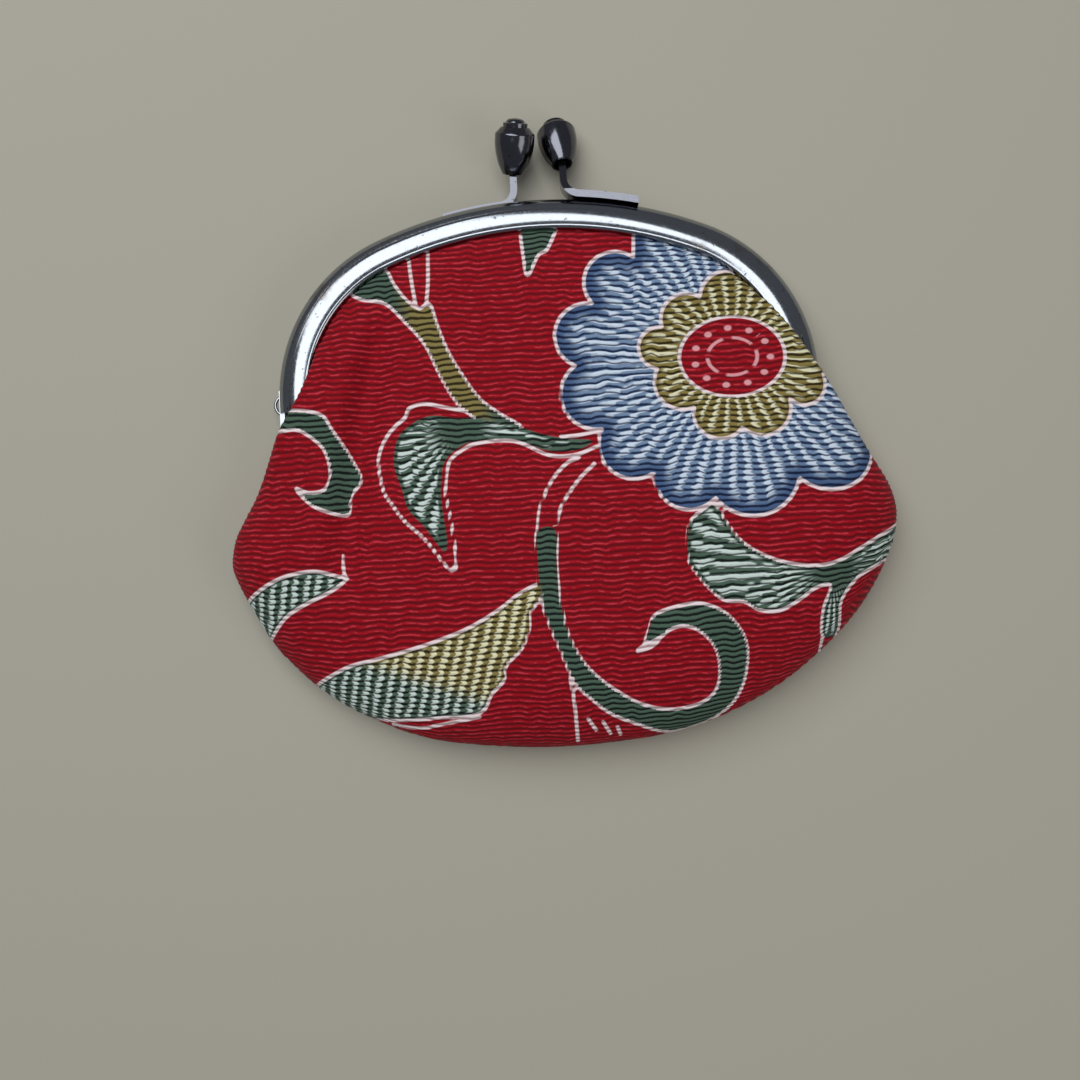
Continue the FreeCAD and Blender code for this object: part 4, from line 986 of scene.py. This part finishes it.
def tube(name, path, radius, sides=8):
    """A round tube along a path."""
    ahead = np.gradient(path, axis=0)
    ahead /= np.linalg.norm(ahead, axis=1)[:, None]
    side = np.cross(ahead, [0, 0, 1])
    side /= np.linalg.norm(side, axis=1)[:, None]
    up = np.cross(side, ahead)
    angles = np.arange(sides) * 2 * math.pi / sides
    ring = side[:, None] * np.cos(angles)[None, :, None] + up[:, None] * np.sin(angles)[None, :, None]
    co = (path[:, None] + radius * ring).reshape(-1, 3)
    grid = np.arange(len(co)).reshape(-1, sides)
    ahead_grid = np.roll(grid, -1, 1)
    faces = np.stack([grid[:-1], ahead_grid[:-1], ahead_grid[1:], grid[1:]], -1).reshape(-1, 4).tolist()
    faces += [grid[0, ::-1].tolist(), grid[-1].tolist()]
    mesh = bpy.data.meshes.new(name)
    mesh.from_pydata((co * MM).tolist(), [], faces)
    mesh.update()
    return mesh


def seam_stitches():
    """The seam's thread, running in and out along the join of the two panels."""
    line = smooth(RIGHT_SIDE + LEFT_SIDE, steps=24)
    lengths = np.concatenate([[0], np.cumsum(np.linalg.norm(np.diff(line, axis=0), axis=1))])
    along = np.arange(0, lengths[-1], STITCH_STEP)
    on_seam = np.stack([np.interp(along, lengths, line[:, 0]), np.interp(along, lengths, line[:, 1])], 1)
    inwards = POUCH_MIDDLE - on_seam
    inwards /= np.linalg.norm(inwards, axis=1)[:, None]
    swing = np.sin(2 * math.pi * along / STITCH_LENGTH)
    x, y = (on_seam + inwards * STITCH_INSET).T
    path = np.stack([x, y + HINGE_Y, PARTING_Z + STITCH_RISE * swing], 1)
    return tube("seam_stitches", path, STITCH_RADIUS)


stitches = place(seam_stitches(), THREAD, "thread")
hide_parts("side_seam_thread")
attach(stitches, "back_half")

# ---------------------------------------------------------------- floor, light and camera
# Half the floor's side, in metres.
FLOOR_HALF = 3.0
corners = [(x * FLOOR_HALF, y * FLOOR_HALF, 0) for x, y in ((-1, -1), (1, -1), (1, 1), (-1, 1))]
floor_mesh = bpy.data.meshes.new("floor")
floor_mesh.from_pydata(corners, [], [(0, 1, 2, 3)])
floor = bpy.data.objects.new("floor", floor_mesh)
bpy.context.scene.collection.objects.link(floor)
floor_shader = Shader("pale_floor")
floor_shader.set(colour=linear((178, 172, 157)), roughness=0.9, specular=0.2)
floor_mesh.materials.append(floor_shader.material)


def softbox(name, at, aim, size, power, colour):
    """A soft rectangular light at a place, turned to another, in millimetres."""
    light = bpy.data.lights.new(name, "AREA")
    light.shape = "RECTANGLE"
    light.size, light.size_y = size[0] * MM, size[1] * MM
    light.energy = power
    light.color = colour
    holder = bpy.data.objects.new(name, light)
    bpy.context.scene.collection.objects.link(holder)
    holder.location = Vector(at) * MM
    holder.rotation_mode = "QUATERNION"
    holder.rotation_quaternion = (Vector(aim) - Vector(at)).to_track_quat("-Z", "Y")


COOL, WARM = (0.93, 0.97, 1.0), (1.0, 0.98, 0.95)
softbox("window", at=(-125, 190, 520), aim=(-10, 0, 0), size=(430, 640), power=2.85, colour=COOL)
softbox("fill", at=(420, -260, 420), aim=(0, 0, 0), size=(300, 300), power=0.5, colour=WARM)

SKY_COLOUR, SKY_STRENGTH = (0.80, 0.86, 0.95, 1), 0.17
world = bpy.data.worlds.new("studio")
world.use_nodes = True
world.node_tree.nodes["Background"].inputs["Color"].default_value = SKY_COLOUR
world.node_tree.nodes["Background"].inputs["Strength"].default_value = SKY_STRENGTH
bpy.context.scene.world = world
bpy.context.scene.view_settings.view_transform = "Standard"

# The camera looks straight down from here, turned a little about its own line of sight.
CAMERA_PLACE = (-2.7, HINGE_Y - 18.6, 192.0)
CAMERA_TURN = -3
camera = bpy.data.objects.new("camera", bpy.data.cameras.new("camera"))
bpy.context.scene.collection.objects.link(camera)
camera.location = Vector(CAMERA_PLACE) * MM
camera.rotation_euler = (0, 0, math.radians(CAMERA_TURN))
camera.data.sensor_width = 36.0
camera.data.lens = 39.0
camera.data.clip_start = 0.01
bpy.context.scene.camera = camera
